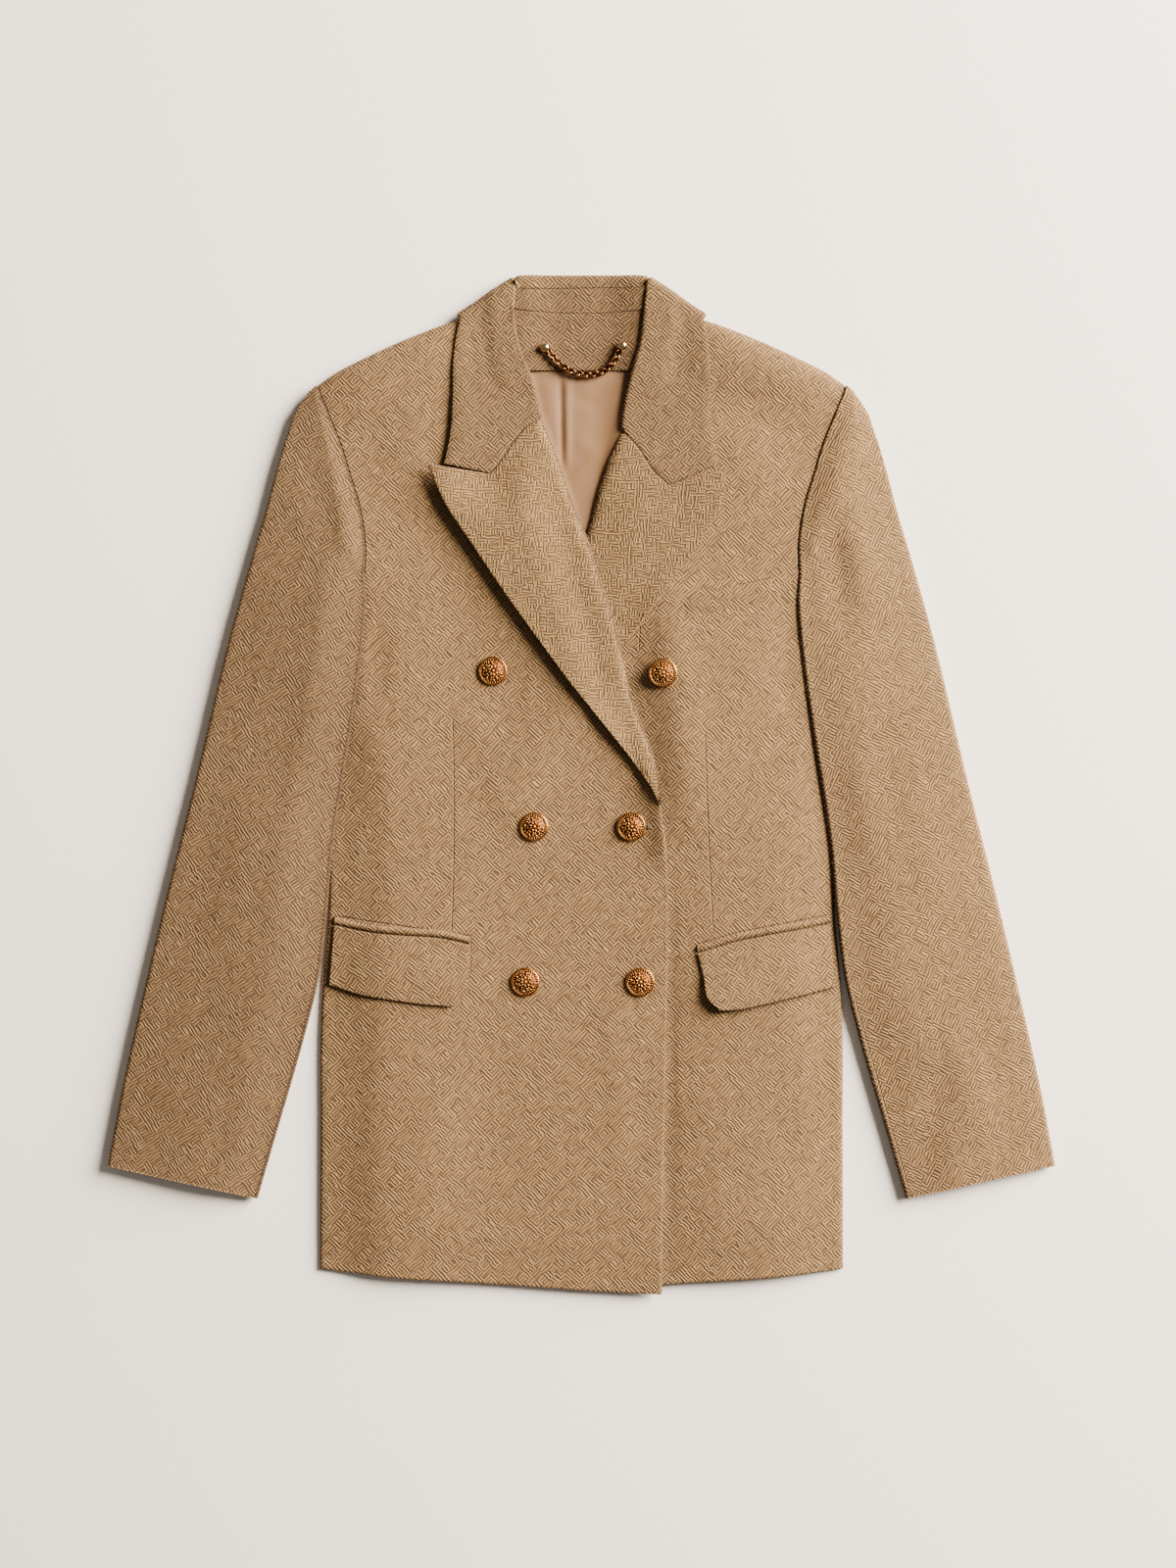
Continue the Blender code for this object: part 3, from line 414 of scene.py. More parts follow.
def weaveMaterial(name, turn, tint=(1, 1, 1), block=1, seamAndShadeLines=()):
    board = NodeBoard(name)
    often, far = weave["wobble"]
    stray = board.noise(board.place, often, 2, "Color")
    stray = board.vector("SCALE", board.vector("SUBTRACT", stray, 1, (0.5, 0.5, 0.5)), "Scale", far)
    moved = board.vector("ADD", board.place, 1, stray)
    size = 1000 / (weave["block"] * block)
    grain = board.mapped(moved, (size, size, size), math.radians(turn))
    cells = board.add("TexVoronoi", {"Vector": grain, "Scale": 1, "Randomness": weave["jumble"]},
                      voronoi_dimensions="2D", distance="CHEBYCHEV")
    chance = board.add("SeparateColor", {0: cells.outputs["Color"]}).outputs
    axes = board.add("SeparateXYZ", {0: grain}).outputs
    pitch = 2 * math.pi * weave["block"] * block / weave["ridge"]
    phase = board.math("MULTIPLY", chance["Blue"], 6.28)
    ridges = []
    over, along = weave["stretch"]
    for axis, stretch in (("X", (over, along, 1)), ("Y", (along, over, 1))):
        wave = board.math("SINE", board.math("MULTIPLY_ADD", axes[axis], pitch, phase))
        yarn = board.noise(board.mapped(grain, stretch), 1, 1)
        yarn = board.remap(yarn, 0.35, 0.65, 0, weave["yarns"])
        ridges.append(board.math("ADD", board.math("MULTIPLY_ADD", wave, 0.42, 0.42), yarn))
    pick = board.math("GREATER_THAN", chance["Red"], 0.5)
    ridge = board.add("Mix", {0: pick, 2: ridges[0], 3: ridges[1]}).outputs[0]
    start, end, low = weave["blockEnds"]
    ends = board.remap(cells.outputs["Distance"], start, end, 1, low)
    ridge = board.math("MULTIPLY", board.math("POWER", ridge, 1.3), ends)
    fibre, cloud = board.noise(board.place, 1500, 3), board.noise(board.place, 26, 3)
    colour = board.blend(ridge, weave["grooveColour"], weave["ridgeColour"])
    share = board.remap(chance["Green"], 0, 1, 0, weave["blockShare"])
    colour = board.blend(share, colour, weave["blockColour"])
    dark, pale = ((level,) * 3 for level in weave["fibres"])
    for shade in (board.blend(fibre, dark, pale), board.blend(cloud, *weave["clouds"]), tint):
        colour = board.blend(1, colour, shade, "MULTIPLY")
    height = board.math("MULTIPLY_ADD", fibre, 0.22, ridge)
    # dark lines for seams, and a few lines of painted shade
    for seam in seamAndShadeLines:
        line = seamAndShadeLine(board, *seam)
        height = board.math("MULTIPLY_ADD", line, -weave["seamDepth"], height)
        share = board.math("MULTIPLY", line, weave["seamAndShadeShare"])
        colour = board.blend(share, colour, weave["seamAndShadeColour"])
    return board.surface(colour, weave["roughness"], height, 1, weave["relief"], weave["shine"])


# 1 on the given line (seams, and a few lines of painted shade), in metres; along y: x = a + b y + c
# y2; along x: y = a + b x + c x2
def seamAndShadeLine(board, along, low, high, a, b, c, width):
    axes = board.add("SeparateXYZ", {0: board.place}).outputs
    run, side = axes[along], axes["Y" if along == "X" else "X"]
    line = board.math("MULTIPLY_ADD", board.math("MULTIPLY_ADD", run, c, b), run, a)
    off = board.math("ABSOLUTE", board.math("SUBTRACT", side, line))
    past, before = board.math("GREATER_THAN", run, low), board.math("LESS_THAN", run, high)
    near = board.remap(off, 0, width, 1, 0, "SMOOTHSTEP")
    return board.math("MULTIPLY", near, board.math("MULTIPLY", past, before))


satin = {"dark": (0.168, 0.08, 0.029), "pale": (0.205, 0.1, 0.039), "twill": (0.32, 0.17, 0.08),
         "twillShare": 0.08, "roughness": (0.62, 0.72)}


def satinMaterial():
    board = NodeBoard("satinLining")
    twill = board.mapped(board.place, (2600, 2600, 2600), 0.6)
    lines = board.add("TexWave", {"Vector": twill, "Scale": 0.32, "Distortion": 0.6}).outputs["Fac"]
    cloud = board.noise(board.mapped(board.place, (70, 9, 20)), 1, 3)
    colour = board.blend(cloud, satin["dark"], satin["pale"])
    share = board.math("MULTIPLY", lines, satin["twillShare"])
    colour = board.blend(share, colour, satin["twill"])
    return board.surface(colour, board.remap(cloud, 0.3, 0.7, *satin["roughness"]),
                         board.math("MULTIPLY_ADD", cloud, 6, lines), 0.35, 0.0001,
                         {"Anisotropic": 0.4, "Specular IOR Level": 0.35})


def goldMaterial(name, bright, dark, rough):
    board = NodeBoard(name)
    wear, grime = board.noise(board.place, 900, 4), board.noise(board.place, 225, 3)
    return board.surface(board.blend(board.remap(grime, 0.35, 0.7, 0, 1), bright, dark),
                         board.remap(wear, 0.3, 0.7, rough - 0.06, rough + 0.12), wear,
                         0.2, 0.00008, {"Metallic": 1})


def threadMaterial(name, colour):
    board = NodeBoard(name)
    twist = board.noise(board.place, 2600, 2)
    colour = board.blend(twist, tuple(value * 0.6 for value in colour), colour)
    return board.surface(colour, 0.7, twist, 0.4, 0.0001, {})


frontSeamAndShadeLines = {   # darts, the upper edges of the jets and the mouth of the chest pocket, which are seams, and two lines of painted shade
    "left": (("Y", -0.12, 0.042, 0.1015, -0.034, 0.12, 0.0008),
             ("X", 0.128, 0.1545, 0.135, 0.2139, 0, 0.0009),
             ("X", 0.0925, 0.1265, -0.1577, 0.293, 0, 0.0012),
             ("X", 0.1265, 0.202, -0.1446, 0.19, 0, 0.0012),
             # painted shade of a small crease below the left lapel
             ("Y", 0.11, 0.129, 0.042, 0.042, 0, 0.0009)),
    "right": (("Y", -0.12, 0.054, -0.104, -0.008, -0.2, 0.0008),
              ("X", -0.202, -0.0905, -0.1367, -0.146, 0, 0.0012),
              # painted shadow beside the front end of the right flap
              ("Y", -0.153, -0.122, -0.0886, 0.012, 0, 0.0007)),
}
bodyWeave = {side: weaveMaterial(side + "FrontWeave", 45, seamAndShadeLines=frontSeamAndShadeLines[side])
             for side in sides}
backWeave = weaveMaterial("backWeave", 45)
# the darker tints of the lapels, collar and neck are painted shade
lapelWeave = weaveMaterial("lapelWeave", 2, tint=(0.9, 0.91, 0.87), block=0.62)
collarWeave = weaveMaterial("collarWeave", 43, tint=(0.78, 0.775, 0.76), block=0.92,
                            seamAndShadeLines=(("X", -0.05, 0.05, 0.4042, 0.012, 0, 0.0007),))
neckWeave = weaveMaterial("neckWeave", 43, tint=(0.67, 0.65, 0.63), block=0.92,
                          seamAndShadeLines=(("X", -0.056, 0.056, 0.3837, 0, 0.9, 0.0008),))
sleeveWeave = {
    "left": weaveMaterial("leftSleeveWeave", 27, block=0.92,
                          seamAndShadeLines=(("Y", -0.345, -0.176, 0.1725, -0.285, 0, 0.0007),)),
    # painted shade: the right sleeve's darker tint stands in for the weaker light on its side, away
    # from the lamp
    "right": weaveMaterial("rightSleeveWeave", 56, tint=(0.75, 0.745, 0.75), block=0.92),
}
flapWeave = weaveMaterial("flapWeave", 38, block=0.95)
# painted shade: a much darker copy of the cloth for the rims of the jets and the left flap and
# along the right sleeve's inner fold, where a dark shadow line should show
deepEdgeShadeWeave = weaveMaterial("deepEdgeShadeWeave", 38, tint=(0.32, 0.28, 0.24))
# painted shade: a darker copy of the cloth for the rims of the fronts, lapels, collar and right
# flap, along the rolls of the lapels and collar, and along the left sleeve's inner fold, so these
# edges look less lit
softEdgeShadeWeave = weaveMaterial("softEdgeShadeWeave", 38, tint=(0.48, 0.455, 0.42))
foldShadeWeave = {"left": softEdgeShadeWeave, "right": deepEdgeShadeWeave}   # painted shade along the inner folds of the sleeves
satinLining = satinMaterial()
burnishedGold = goldMaterial("burnishedGold", (0.47, 0.205, 0.055), (0.25, 0.088, 0.02), 0.3)
darkPatina = goldMaterial("darkPatina", (0.2, 0.07, 0.018), (0.08, 0.025, 0.007), 0.4)
chainGold = goldMaterial("chainGold", (0.3, 0.13, 0.042), (0.06, 0.021, 0.007), 0.22)
brightGold = goldMaterial("brightGold", (0.74, 0.52, 0.27), (0.5, 0.31, 0.13), 0.14)
buttonholeThread = threadMaterial("buttonholeThread", (0.22, 0.12, 0.055))
holeShade = threadMaterial("holeShade", (0.03, 0.015, 0.006))
print("materials made")


# body
cloth = {"coating": 1.6, "facing": 1.2, "lining": 1, "seam": 0.3, "loft": 5.2, "edgeRound": 5.5}
bodyCut = {   # out from the centre line, up from the middle of the length
    "side": ((213.2, -394.8), (212.8, -279.6), (212.6, -199.6), (210.6, -159.6),
             (206.4, -107.6), (205.6, -79.6), (208, -23.6), (217.6, 48.4), (229.6, 124.4)),
    "scye": ((229.6, 124.4), (202, 134), (184, 152), (176.8, 172.4)),
    "armhole": ((176.8, 172.4), (176, 192.4), (178.2, 212.4), (182.4, 232.4), (188.8, 252.4),
                (196, 276.4), (204, 296.4), (215.5, 324.4)),
    "shoulder": ((64, 393.4), (80, 387), (100, 378.6), (108, 376.2), (141.6, 363.6),
                 (163.2, 354), (183.2, 344.4), (201.2, 334.8), (215.5, 324.4)),
    "backHem": ((0.15, -409), (110, -402.6), (213.2, -394.8)),
    "backNeck": ((0, 386.8), (30, 387.4), (50, 389.6), (64, 393.4)),
    "innerLevels": (112, 166),   # rows that start here end at the two ends of the scye
}
sleeveCut = {
    "head": ((221, 320), (227.2, 310.8), (232, 303.6), (237.6, 288.4), (247.6, 256.4),
             (256, 224.4), (266.8, 188)),
    "outer": ((266.8, 188), (283.6, 128.4), (314.4, 0.4), (338.4, -95.6), (353.6, -159.6),
              (374.8, -255.6), (385.2, -310.8)),
    "inner": ((176.8, 172.4), (175.4, 150), (176.8, 128.4), (182.4, 80.4), (189.6, 32.4),
              (196.8, -11.6), (202.4, -50), (207.2, -103.6), (214.4, -159.6), (226.4, -207.6),
              (249.6, -287.6), (264, -337.2)),
    "foldRise": 4.6, "outerRise": {"left": 4.2, "right": 7},        # edges over the underside
    "innerCrown": {"left": 6.4, "right": 5.8}, "outerCrown": {"left": 1.8, "right": 4.6},
    "foldWidth": {"left": 52, "right": 44},
    "sharp": {"left": 1, "right": 0.22},   # how suddenly the outer edge rounds
    "seamRise": {"left": 0.7, "right": 0},
    "bodyDrop": 5.5, "onBody": (3, 8), "onSeam": (166, 196), "sewnFade": (-3, 24),
    "room": {"laid": 3.2, "folded": 2.2},    # least height inside, before and after the folds
    "turnRound": (24, 85), "underRound": 9,  # width of the outer turn, sharp and soft
    "foldRound": (0.14, 2.5),                # share and width of the sharp part of the fold
    "smoothing": {"inner": 24, "crown": 6},  # rounds
    "folds": {   # out, up, out, up, width, height
        "left": ((200, 215, 214, 120, 12, -2.2), (214, 250, 236, 150, 15, 1.6),
                 (236, 60, 262, -40, 20, -1.3), (262, 20, 288, -90, 18, 1.4),
                 (300, -190, 330, -300, 14, 1.2), (287, -232, 276, -322, 16, -2.4),
                 (222, 20, 232, -60, 12, 1.2)),
        "right": ((219, 254, 198, 196, 14, -1.9), (190, 225, 190, 150, 10, 1.6),
                  (232, 90, 256, -10, 20, -1.4), (270, -20, 296, -130, 18, 1.3),
                  (250, 180, 268, 90, 16, 1.2), (280, -230, 304, -325, 13, -1.2),
                  (320, -160, 342, -270, 15, 1)),
    },
}
frontCut = {
    "edge": ((-65.2, -418), (-66.8, -319.6), (-68.4, -239.6), (-69.8, -159.6), (-70, -79.6),
             (-68.4, -44), (-65.8, -28), (-64.8, -18.5)),
    "hem": {"right": ((-65.2, -415.4), (0, -412.2), (52, -408.4), (95, -405.6), (148, -402.2),
                      (213.2, -394.8)),
            "left": ((-65.2, -405.4), (-30, -407.6), (0, -409.2), (30, -409.6), (52, -408.6),
                     (95, -405.6), (148, -402.2), (213.2, -394.8))},
    "sink": {"right": 0, "left": 2.6},
    "sideBulge": 3.2,      # the sides lie a little fuller
    "pressed": 2.8,        # by the sleeve that lies on them
    "hemDrop": 1.2,
    "sideRound": {"left": (0.6, 38), "right": (0.32, 56)},   # sharp share, width of the rest
    "tuck": 7,
    # from where to where each of them fades, in or out
    "sinkFade": (20, 110), "hemFade": (0, 45), "tuckFade": (-14, 24),
    "bulgeIn": (0, 52), "bulgeOut": (60, 150),
    "pressedIn": (-1.5, 9), "pressedLow": (-205, -160), "pressedHigh": (160, 178),
}
coating, sewing = cloth["coating"], cloth["seam"]


def bodySide():
    counts = {"side": 112, "scye": 14, "armhole": 34}
    return joinRuns(*[evenly(bodyCut[edge], count) for edge, count in counts.items()])


def innerLevels(sideEdge, low, high):
    known = (bodyCut["side"][0][1], bodyCut["scye"][0][1], bodyCut["armhole"][0][1],
             bodyCut["armhole"][-1][1])
    levels = np.interp(sideEdge[:, 1], known, (low, *bodyCut["innerLevels"], high))
    levels[0] = low
    return levels


def backPlan():
    outer = bodySide()
    levels = innerLevels(outer, bodyCut["backHem"][0][1], bodyCut["backNeck"][0][1])
    centre = np.column_stack((np.full(len(levels), sewing / 2), levels))
    neck = joinRuns(evenly(bodyCut["backNeck"], 14), evenly(bodyCut["shoulder"], 34))
    neck[0, 0] = sewing / 2
    return addEdges(fillPatch(centre, outer, evenly(bodyCut["backHem"], 48), neck))


def frontInner(side):   # front edge, then a line tucked under the roll of the lapel
    roll = joinRuns(smoothCurve(lapelCut[side]["roll"]), smoothCurve(collarCut[side]["roll"][:-1]))
    tuck = frontCut["tuck"] * easeStep(roll[:, 1], *frontCut["tuckFade"])
    roll = roll - leftOf(roll) * tuck[:, None]
    return joinRuns(smoothCurve(frontCut["edge"]), roll[roll[:, 1] < 386],
                    np.array(bodyCut["shoulder"][:1]))


def frontPlan(side):
    outer, inner, hem = bodySide(), frontInner(side), frontCut["hem"][side]
    levels = innerLevels(outer, hem[0][1], bodyCut["shoulder"][0][1])
    inner = np.column_stack((np.interp(levels, inner[:, 1], inner[:, 0]), levels))
    inner[0] = hem[0]
    return addEdges(fillPatch(inner, outer, evenly(hem, 60), evenly(bodyCut["shoulder"], 60)))


def frontHeight(side, plan):
    cut, out, up = frontCut, plan[..., 0], plan[..., 1]
    sunk = cut["sink"][side] * (1 - easeStep(out, *cut["sinkFade"]))
    aboveHem = up - np.interp(out, *zip(*cut["hem"][side]))
    hem = cut["hemDrop"] * (1 - easeStep(aboveHem, *cut["hemFade"]))
    gap = gapToKnots(plan, bodyCut["side"])
    bulge = cut["sideBulge"] * easeStep(gap, *cut["bulgeIn"])
    bulge = bulge * (1 - 0.7 * easeStep(gap, *cut["bulgeOut"]))
    fold = smoothCurve(sleeveCut["inner"])[::-1]
    pastFold = out - np.interp(up, fold[:, 1], fold[:, 0])
    pressed = cut["pressed"] * easeStep(pastFold, *cut["pressedIn"])
    pressed *= easeStep(up, *cut["pressedLow"]) * (1 - easeStep(up, *cut["pressedHigh"]))
    return coating / 2 + cloth["loft"] - sunk - hem + bulge - pressed


def frontShare(side, plan):
    share = roundOver(gapToKnots(plan, bodyCut["shoulder"]), 1.6 * cloth["edgeRound"])
    gap = gapToKnots(plan, bodyCut["side"])
    sharp, wide = frontCut["sideRound"][side]
    side = sharp * roundOver(gap, cloth["edgeRound"]) + (1 - sharp) * easeStep(gap, 0, wide)
    return np.minimum(share, side)


# lapels and collar
rollFoot = ((-64.6, -17), (-65, -6), (-62.4, 8), (-55.8, 31), (-49, 49), (-39.9, 76))
edgeFoot = ((-62.2, -14), (-57, -3), (-48, 10), (-37.4, 24.2), (-21, 44.6))
lapelCut = {
    "right": {
        "roll": (*rollFoot, (-32.4, 112),
                 (-24.8, 140.6), (-14.7, 170), (-3.6, 203.6), (8.9, 234.8), (18, 262),
                 (32.4, 298)),
        "gorge": ((32.4, 298), (42.8, 292.4), (54, 281), (65.2, 264), (74, 252.8)),
        "tip": (125.4, 260.6),
        "edge": (*edgeFoot, (9.2, 82), (42.6, 127.1),
                 (65.2, 158.8), (87.6, 192.4), (112.4, 230.4), (125.4, 260.6)),
        "levels": (10.6, 9, 8.8, 9),
        "spring": 7,
    },
    "left": {
        "roll": (*rollFoot, (-31, 112),
                 (-22.6, 140.6), (-12, 170), (3.4, 203.6), (13.6, 241.6), (22.6, 268.4),
                 (31.6, 288.7)),
        "gorge": ((31.6, 288.7), (40, 281), (48.4, 270.8), (58.5, 255), (70.8, 243.8)),
        "tip": (118, 257.2),
        "edge": (*edgeFoot, (6, 77), (32.4, 111.6),
                 (47.2, 129.3), (69.7, 160.8), (87.6, 185.4), (103.4, 207.9), (114.6, 230.4),
                 (118, 257.2)),
        "levels": (6.6, 6.6, 7.4, 9.4),
        "spring": 1.6,
    },
    "ups": (-14, 120, 190, 240),
    "rollRound": 11,
    "offRoll": (4, 46), "offGorge": (0, 45), "footFlat": (-14, 30),   # fades
}
collarCut = {
    "right": {"roll": ((32.4, 298), (34.8, 306.8), (43.2, 337.2), (51.6, 358.3), (56, 387.6),
                       (55.1, 408.3))},
    "left": {"roll": ((31.6, 288.7), (33.5, 306), (40.5, 337), (47.6, 361), (51.6, 387.6),
                      (55.1, 408.3))},
    "point": (112, 260.5),
    "edge": ((112, 260.5), (106.6, 288), (105, 315.6), (104.6, 342.8), (102.6, 362),
             (99.1, 378.8)),
    "corner": (55.1, 408.3),
    "height": 9.4, "sideRise": 3.6,
    "spring": {"left": 0.4, "right": 2.2},
    "foldNormal": np.array((0.566, 0.825)),
    "foldAxis": np.array((-0.825, 0.566)),
    "underRoll": ((55.1, 408.3), (53.6, 411.4), (48, 412.2), (30, 412.4), (0, 412.4)),
    "underEdge": ((99.1, 378.8), (80, 370.6), (50, 365), (0, 363.6)),
    "hooks": {   # section of the inner edge: turn, reach, depth and a flat run after
        "front": (math.pi / 2, 2.6, 3, 0.4),
        "corner": (0.5, 1.2, 0.15, 2.4),
        "back": (math.pi, 2, 4, 9.4),
    },
    "inset": 2.6,          # how far inside its roll the fall starts, fading to the back
    "insetFade": (0.43, 1), "hookFade": (0.45, 1), "hookRunFade": (0.8, 1), "neckFade": (20, 50),
    "offRoll": (20, 75), "offGorge": (0, 45), "springFade": (300, 365),
    "leanFade": (-0.1, 0.08), "turnFade": (0, 0.08), "liftFade": (0, 0.05),
    "runFrom": 403.2, "runOver": 9.2,   # up to where the flat run starts, and over how much
    "gorgeGap": 1.3,       # in seam gaps
    "acrossGorge": 14, "acrossNotch": 8, "frontRows": 36, "foldSteps": 12, "underRows": 24,
}


def lapelPlan(side):
    cut = lapelCut[side]
    notch = np.array((cut["gorge"][-1], cut["tip"]))
    top = joinRuns(evenly(cut["gorge"], 14), spacedAlong(notch, 11))
    bottom = lineOf(cut["roll"][0], cut["edge"][0], 25)
    sideEdges = [evenly(cut[edge], 74) for edge in ("roll", "edge")]
    return addEdges(fillPatch(*sideEdges, bottom, top), low=False)


def lapelHeight(side, plan):
    cut, up = lapelCut[side], plan[..., 1]
    base = np.interp(up, lapelCut["ups"], cut["levels"])
    offRoll = easeStep(gapToKnots(plan, cut["roll"]), *lapelCut["offRoll"])
    offGorge = easeStep(gapToKnots(plan, cut["gorge"]), *lapelCut["offGorge"])
    return base + cut["spring"] * offRoll * offGorge


def lapelShare(side, plan):
    flat = 1 - easeStep(plan[..., 1], *lapelCut["footFlat"])
    share = roundOver(gapToKnots(plan, lapelCut[side]["roll"]), lapelCut["rollRound"])
    return np.maximum(share, flat)


def hookSection(first, second="corner", share=0, runShare=0):
    start, end = (np.array(collarCut["hooks"][kind]) for kind in (first, second))
    turn, reach, depth, _ = start + (end - start) * share
    run = start[3] + (end[3] - start[3]) * runShare
    steps = np.linspace(0, turn, 9)[1:]
    across, down = reach * np.sin(steps), depth / (1 - math.cos(turn)) * (1 - np.cos(steps))
    arc = np.column_stack((across, down))
    heading = np.array((math.cos(turn), math.sin(turn)))
    tail = [arc[-1] + heading * run * k / 3 for k in (1, 2, 3)]
    return np.vstack([arc] + tail)[::-1]


def withHook(row, towards, into, section):
    hook = row[0] + section[:, :1] * np.append(towards, 0) + section[:, 1:] * np.array(into)
    return np.vstack((hook, row))


def neckRise(out):   # the neck stands higher towards its sides
    return collarCut["sideRise"] * easeStep(np.abs(out), *collarCut["neckFade"])


def collarUnderRows():
    count, columns = collarCut["underRows"], collarCut["acrossGorge"] + collarCut["acrossNotch"]
    inner = evenly(collarCut["underRoll"], count)
    outer = evenly(collarCut["underEdge"], count)
    rows = []
    for k in range(count + 1):
        share = k / count
        row = lineOf(inner[k], outer[k], columns)
        row = np.column_stack((row, np.full(len(row), coating / 2)))
        lean, turn, lift = (easeStep(share, *collarCut[fade])
                            for fade in ("leanFade", "turnFade", "liftFade"))
        towards = (1 - lean) * collarCut["foldAxis"] + lean * np.array((0, 1))
        towards /= np.linalg.norm(towards)
        run = np.clip((inner[k][1] - collarCut["runFrom"]) / collarCut["runOver"], 0, 1) * turn
        section = hookSection("corner", "back", turn, run)
        rise = neckRise(inner[k][0]) * lift
        section[:, 1] *= 1 + rise / collarCut["hooks"]["back"][2]
        rows.append(withHook(row, towards, (0, 0, 1), section))
    return np.array(rows)


def collarFrontRows(side):
    cut, count = collarCut[side], collarCut["frontRows"]
    gorge = lapelCut[side]["gorge"]
    notch = np.array((gorge[-1], collarCut["point"]))
    bottom = joinRuns(evenly(gorge, collarCut["acrossGorge"]),
                      spacedAlong(notch, collarCut["acrossNotch"]))
    bottom[:, 1] += collarCut["gorgeGap"] * sewing
    top = lineOf(collarCut["corner"], collarCut["edge"][-1], len(bottom) - 1)
    roll = evenly(cut["roll"], count)
    towards = leftOf(roll)
    shares = np.arange(count + 1) / count
    inset = collarCut["inset"] * (1 - easeStep(shares, *collarCut["insetFade"]))
    roll = roll - towards * inset[:, None]
    roll[0, 1] += collarCut["gorgeGap"] * sewing
    bottom[0] = roll[0]
    outer = evenly(collarCut["edge"], count)
    outer[0] = bottom[-1]
    fall = fillPatch(roll, outer, bottom, top)
    offRoll = easeStep(gapToKnots(fall, cut["roll"]), *collarCut["offRoll"])
    offGorge = easeStep(gapToKnots(fall, gorge), *collarCut["offGorge"])
    height = (collarCut["height"] + collarCut["spring"][side] * offRoll * offGorge
              * (1 - easeStep(fall[..., 1], *collarCut["springFade"])))
    fall = pile.settle(toSide(fall, side), height, coating, gap=0.2, sewnTo=toSide(bottom, side))
    fall[:, 0, 2] = np.maximum(fall[:, 0, 2], fall[:, 1, 2] - 0.2)
    rows = []
    for k, row in enumerate(fall):
        weight = easeStep(k / count, *collarCut["hookFade"])
        ahead = (1 - weight) * towards[k] + weight * collarCut["foldAxis"]
        ahead = toSide(ahead / np.linalg.norm(ahead), side)
        run = easeStep(k / count, *collarCut["hookRunFade"])
        section = hookSection("front", "corner", weight, run)
        rows.append(withHook(row, ahead, (0, 0, -1), section))
    base, normal = fall[-1], toSide(collarCut["foldNormal"], side)
    radius = (base[:, 2] - coating / 2) / 2
    for angle in np.linspace(0, math.pi, collarCut["foldSteps"] + 1)[1:-1]:
        row = base.copy()
        row[:, :2] += normal * (radius * math.sin(angle))[:, None]
        row[:, 2] = coating / 2 + radius * (1 + math.cos(angle))
        into = (*(-normal * math.sin(angle)), -math.cos(angle))
        rows.append(withHook(row, toSide(collarCut["foldAxis"], side), into, hookSection("corner")))
    return np.array(rows)


# back, lining, facing and stand, from the table up
hooked = 11   # columns of the collar that belong to its hooked inner edge
for side in sides:
    pile.lay(toSide(collarUnderRows()[:, hooked:], side), coating)
backs = {side: pile.settle(toSide(backPlan(), side), coating / 2, coating, bridge=8)
         for side in sides}
for side, grid in backs.items():
    pile.lay(grid, coating)
    clothPiece(side + "Back", grid, coating, backWeave, backWeave, ["back_" + side])

neckCut = {
    "liningRight": ((-12, 180), (-18, 215), (-34, 262), (-47, 300), (-56, 336.9)),
    "liningLeft": ((20, 180), (24, 215), (34, 262), (45, 300), (55, 336.9)),
    "facingLow": ((0, 337.2), (53, 337.2)),
    "standLow": ((0, 383.6), (30, 384.4), (49, 386.2), (57, 387.6)),
    "standHigh": ((0, 404.4), (30, 404.4), (46, 404.8), (50, 406.5), (57, 407.5)),
    "standHeight": 4.4,
    "sideLift": (3.6, 2, 18),   # the lining rises at its sides: height, fade
    "liningFolds": (   # start, end, width, height
        (-17, 352, -15.5, 262, 2.2, -1.6), (-12.5, 350, -11.5, 262, 3, 0.9),
        (-30, 345, -24, 290, 8, 0.8), (4, 345, 6, 240, 12, 0.3),
        (19, 345, 13, 215, 9, -0.5), (32, 340, 24, 260, 9, 0.5),
        (-6, 318, 14, 306, 5, -0.4), (-4, 282, 12, 268, 6, 0.4),
        (-3, 260, 4, 190, 8, -0.2),
    ),
}


def acrossPlan(low, high, columns, rows):
    edges = []
    for edge in (low, high):
        half = evenly(edge, columns)
        edges.append(np.vstack((half[::-1] * (-1, 1), half[1:])))
    shares = np.linspace(0, 1, rows + 1)[:, None, None]
    return addEdges(edges[0][None] * (1 - shares) + edges[1][None] * shares)


liningSides = [neckCut["liningRight"], neckCut["liningLeft"]]
liningEnds = [lineOf(*[knots[end] for knots in liningSides], 44) for end in (0, -1)]
lining = fillPatch(*[evenly(knots, 62) for knots in liningSides], *liningEnds)
liningFlat = pile.settle(lining, 0, cloth["lining"])
liningGrid = liningFlat.copy()
folds = creased(liningGrid, neckCut["liningFolds"])
liningGrid[..., 2] += np.maximum(folds + 1.2, 0) * (1 - easeStep(lining[..., 1], 325, 336.9))
liningEdge = np.minimum(*[gapToKnots(lining, knots) for knots in liningSides])
lift, low, high = neckCut["sideLift"]
liningGrid[..., 2] += lift * (1 - easeStep(liningEdge, low, high))
pile.lay(liningFlat, cloth["lining"])
clothPiece("backLining", liningGrid, cloth["lining"], satinLining, satinLining, ["lining_back"],
           slotName="satin", restsOn=["leftBack", "rightBack"])

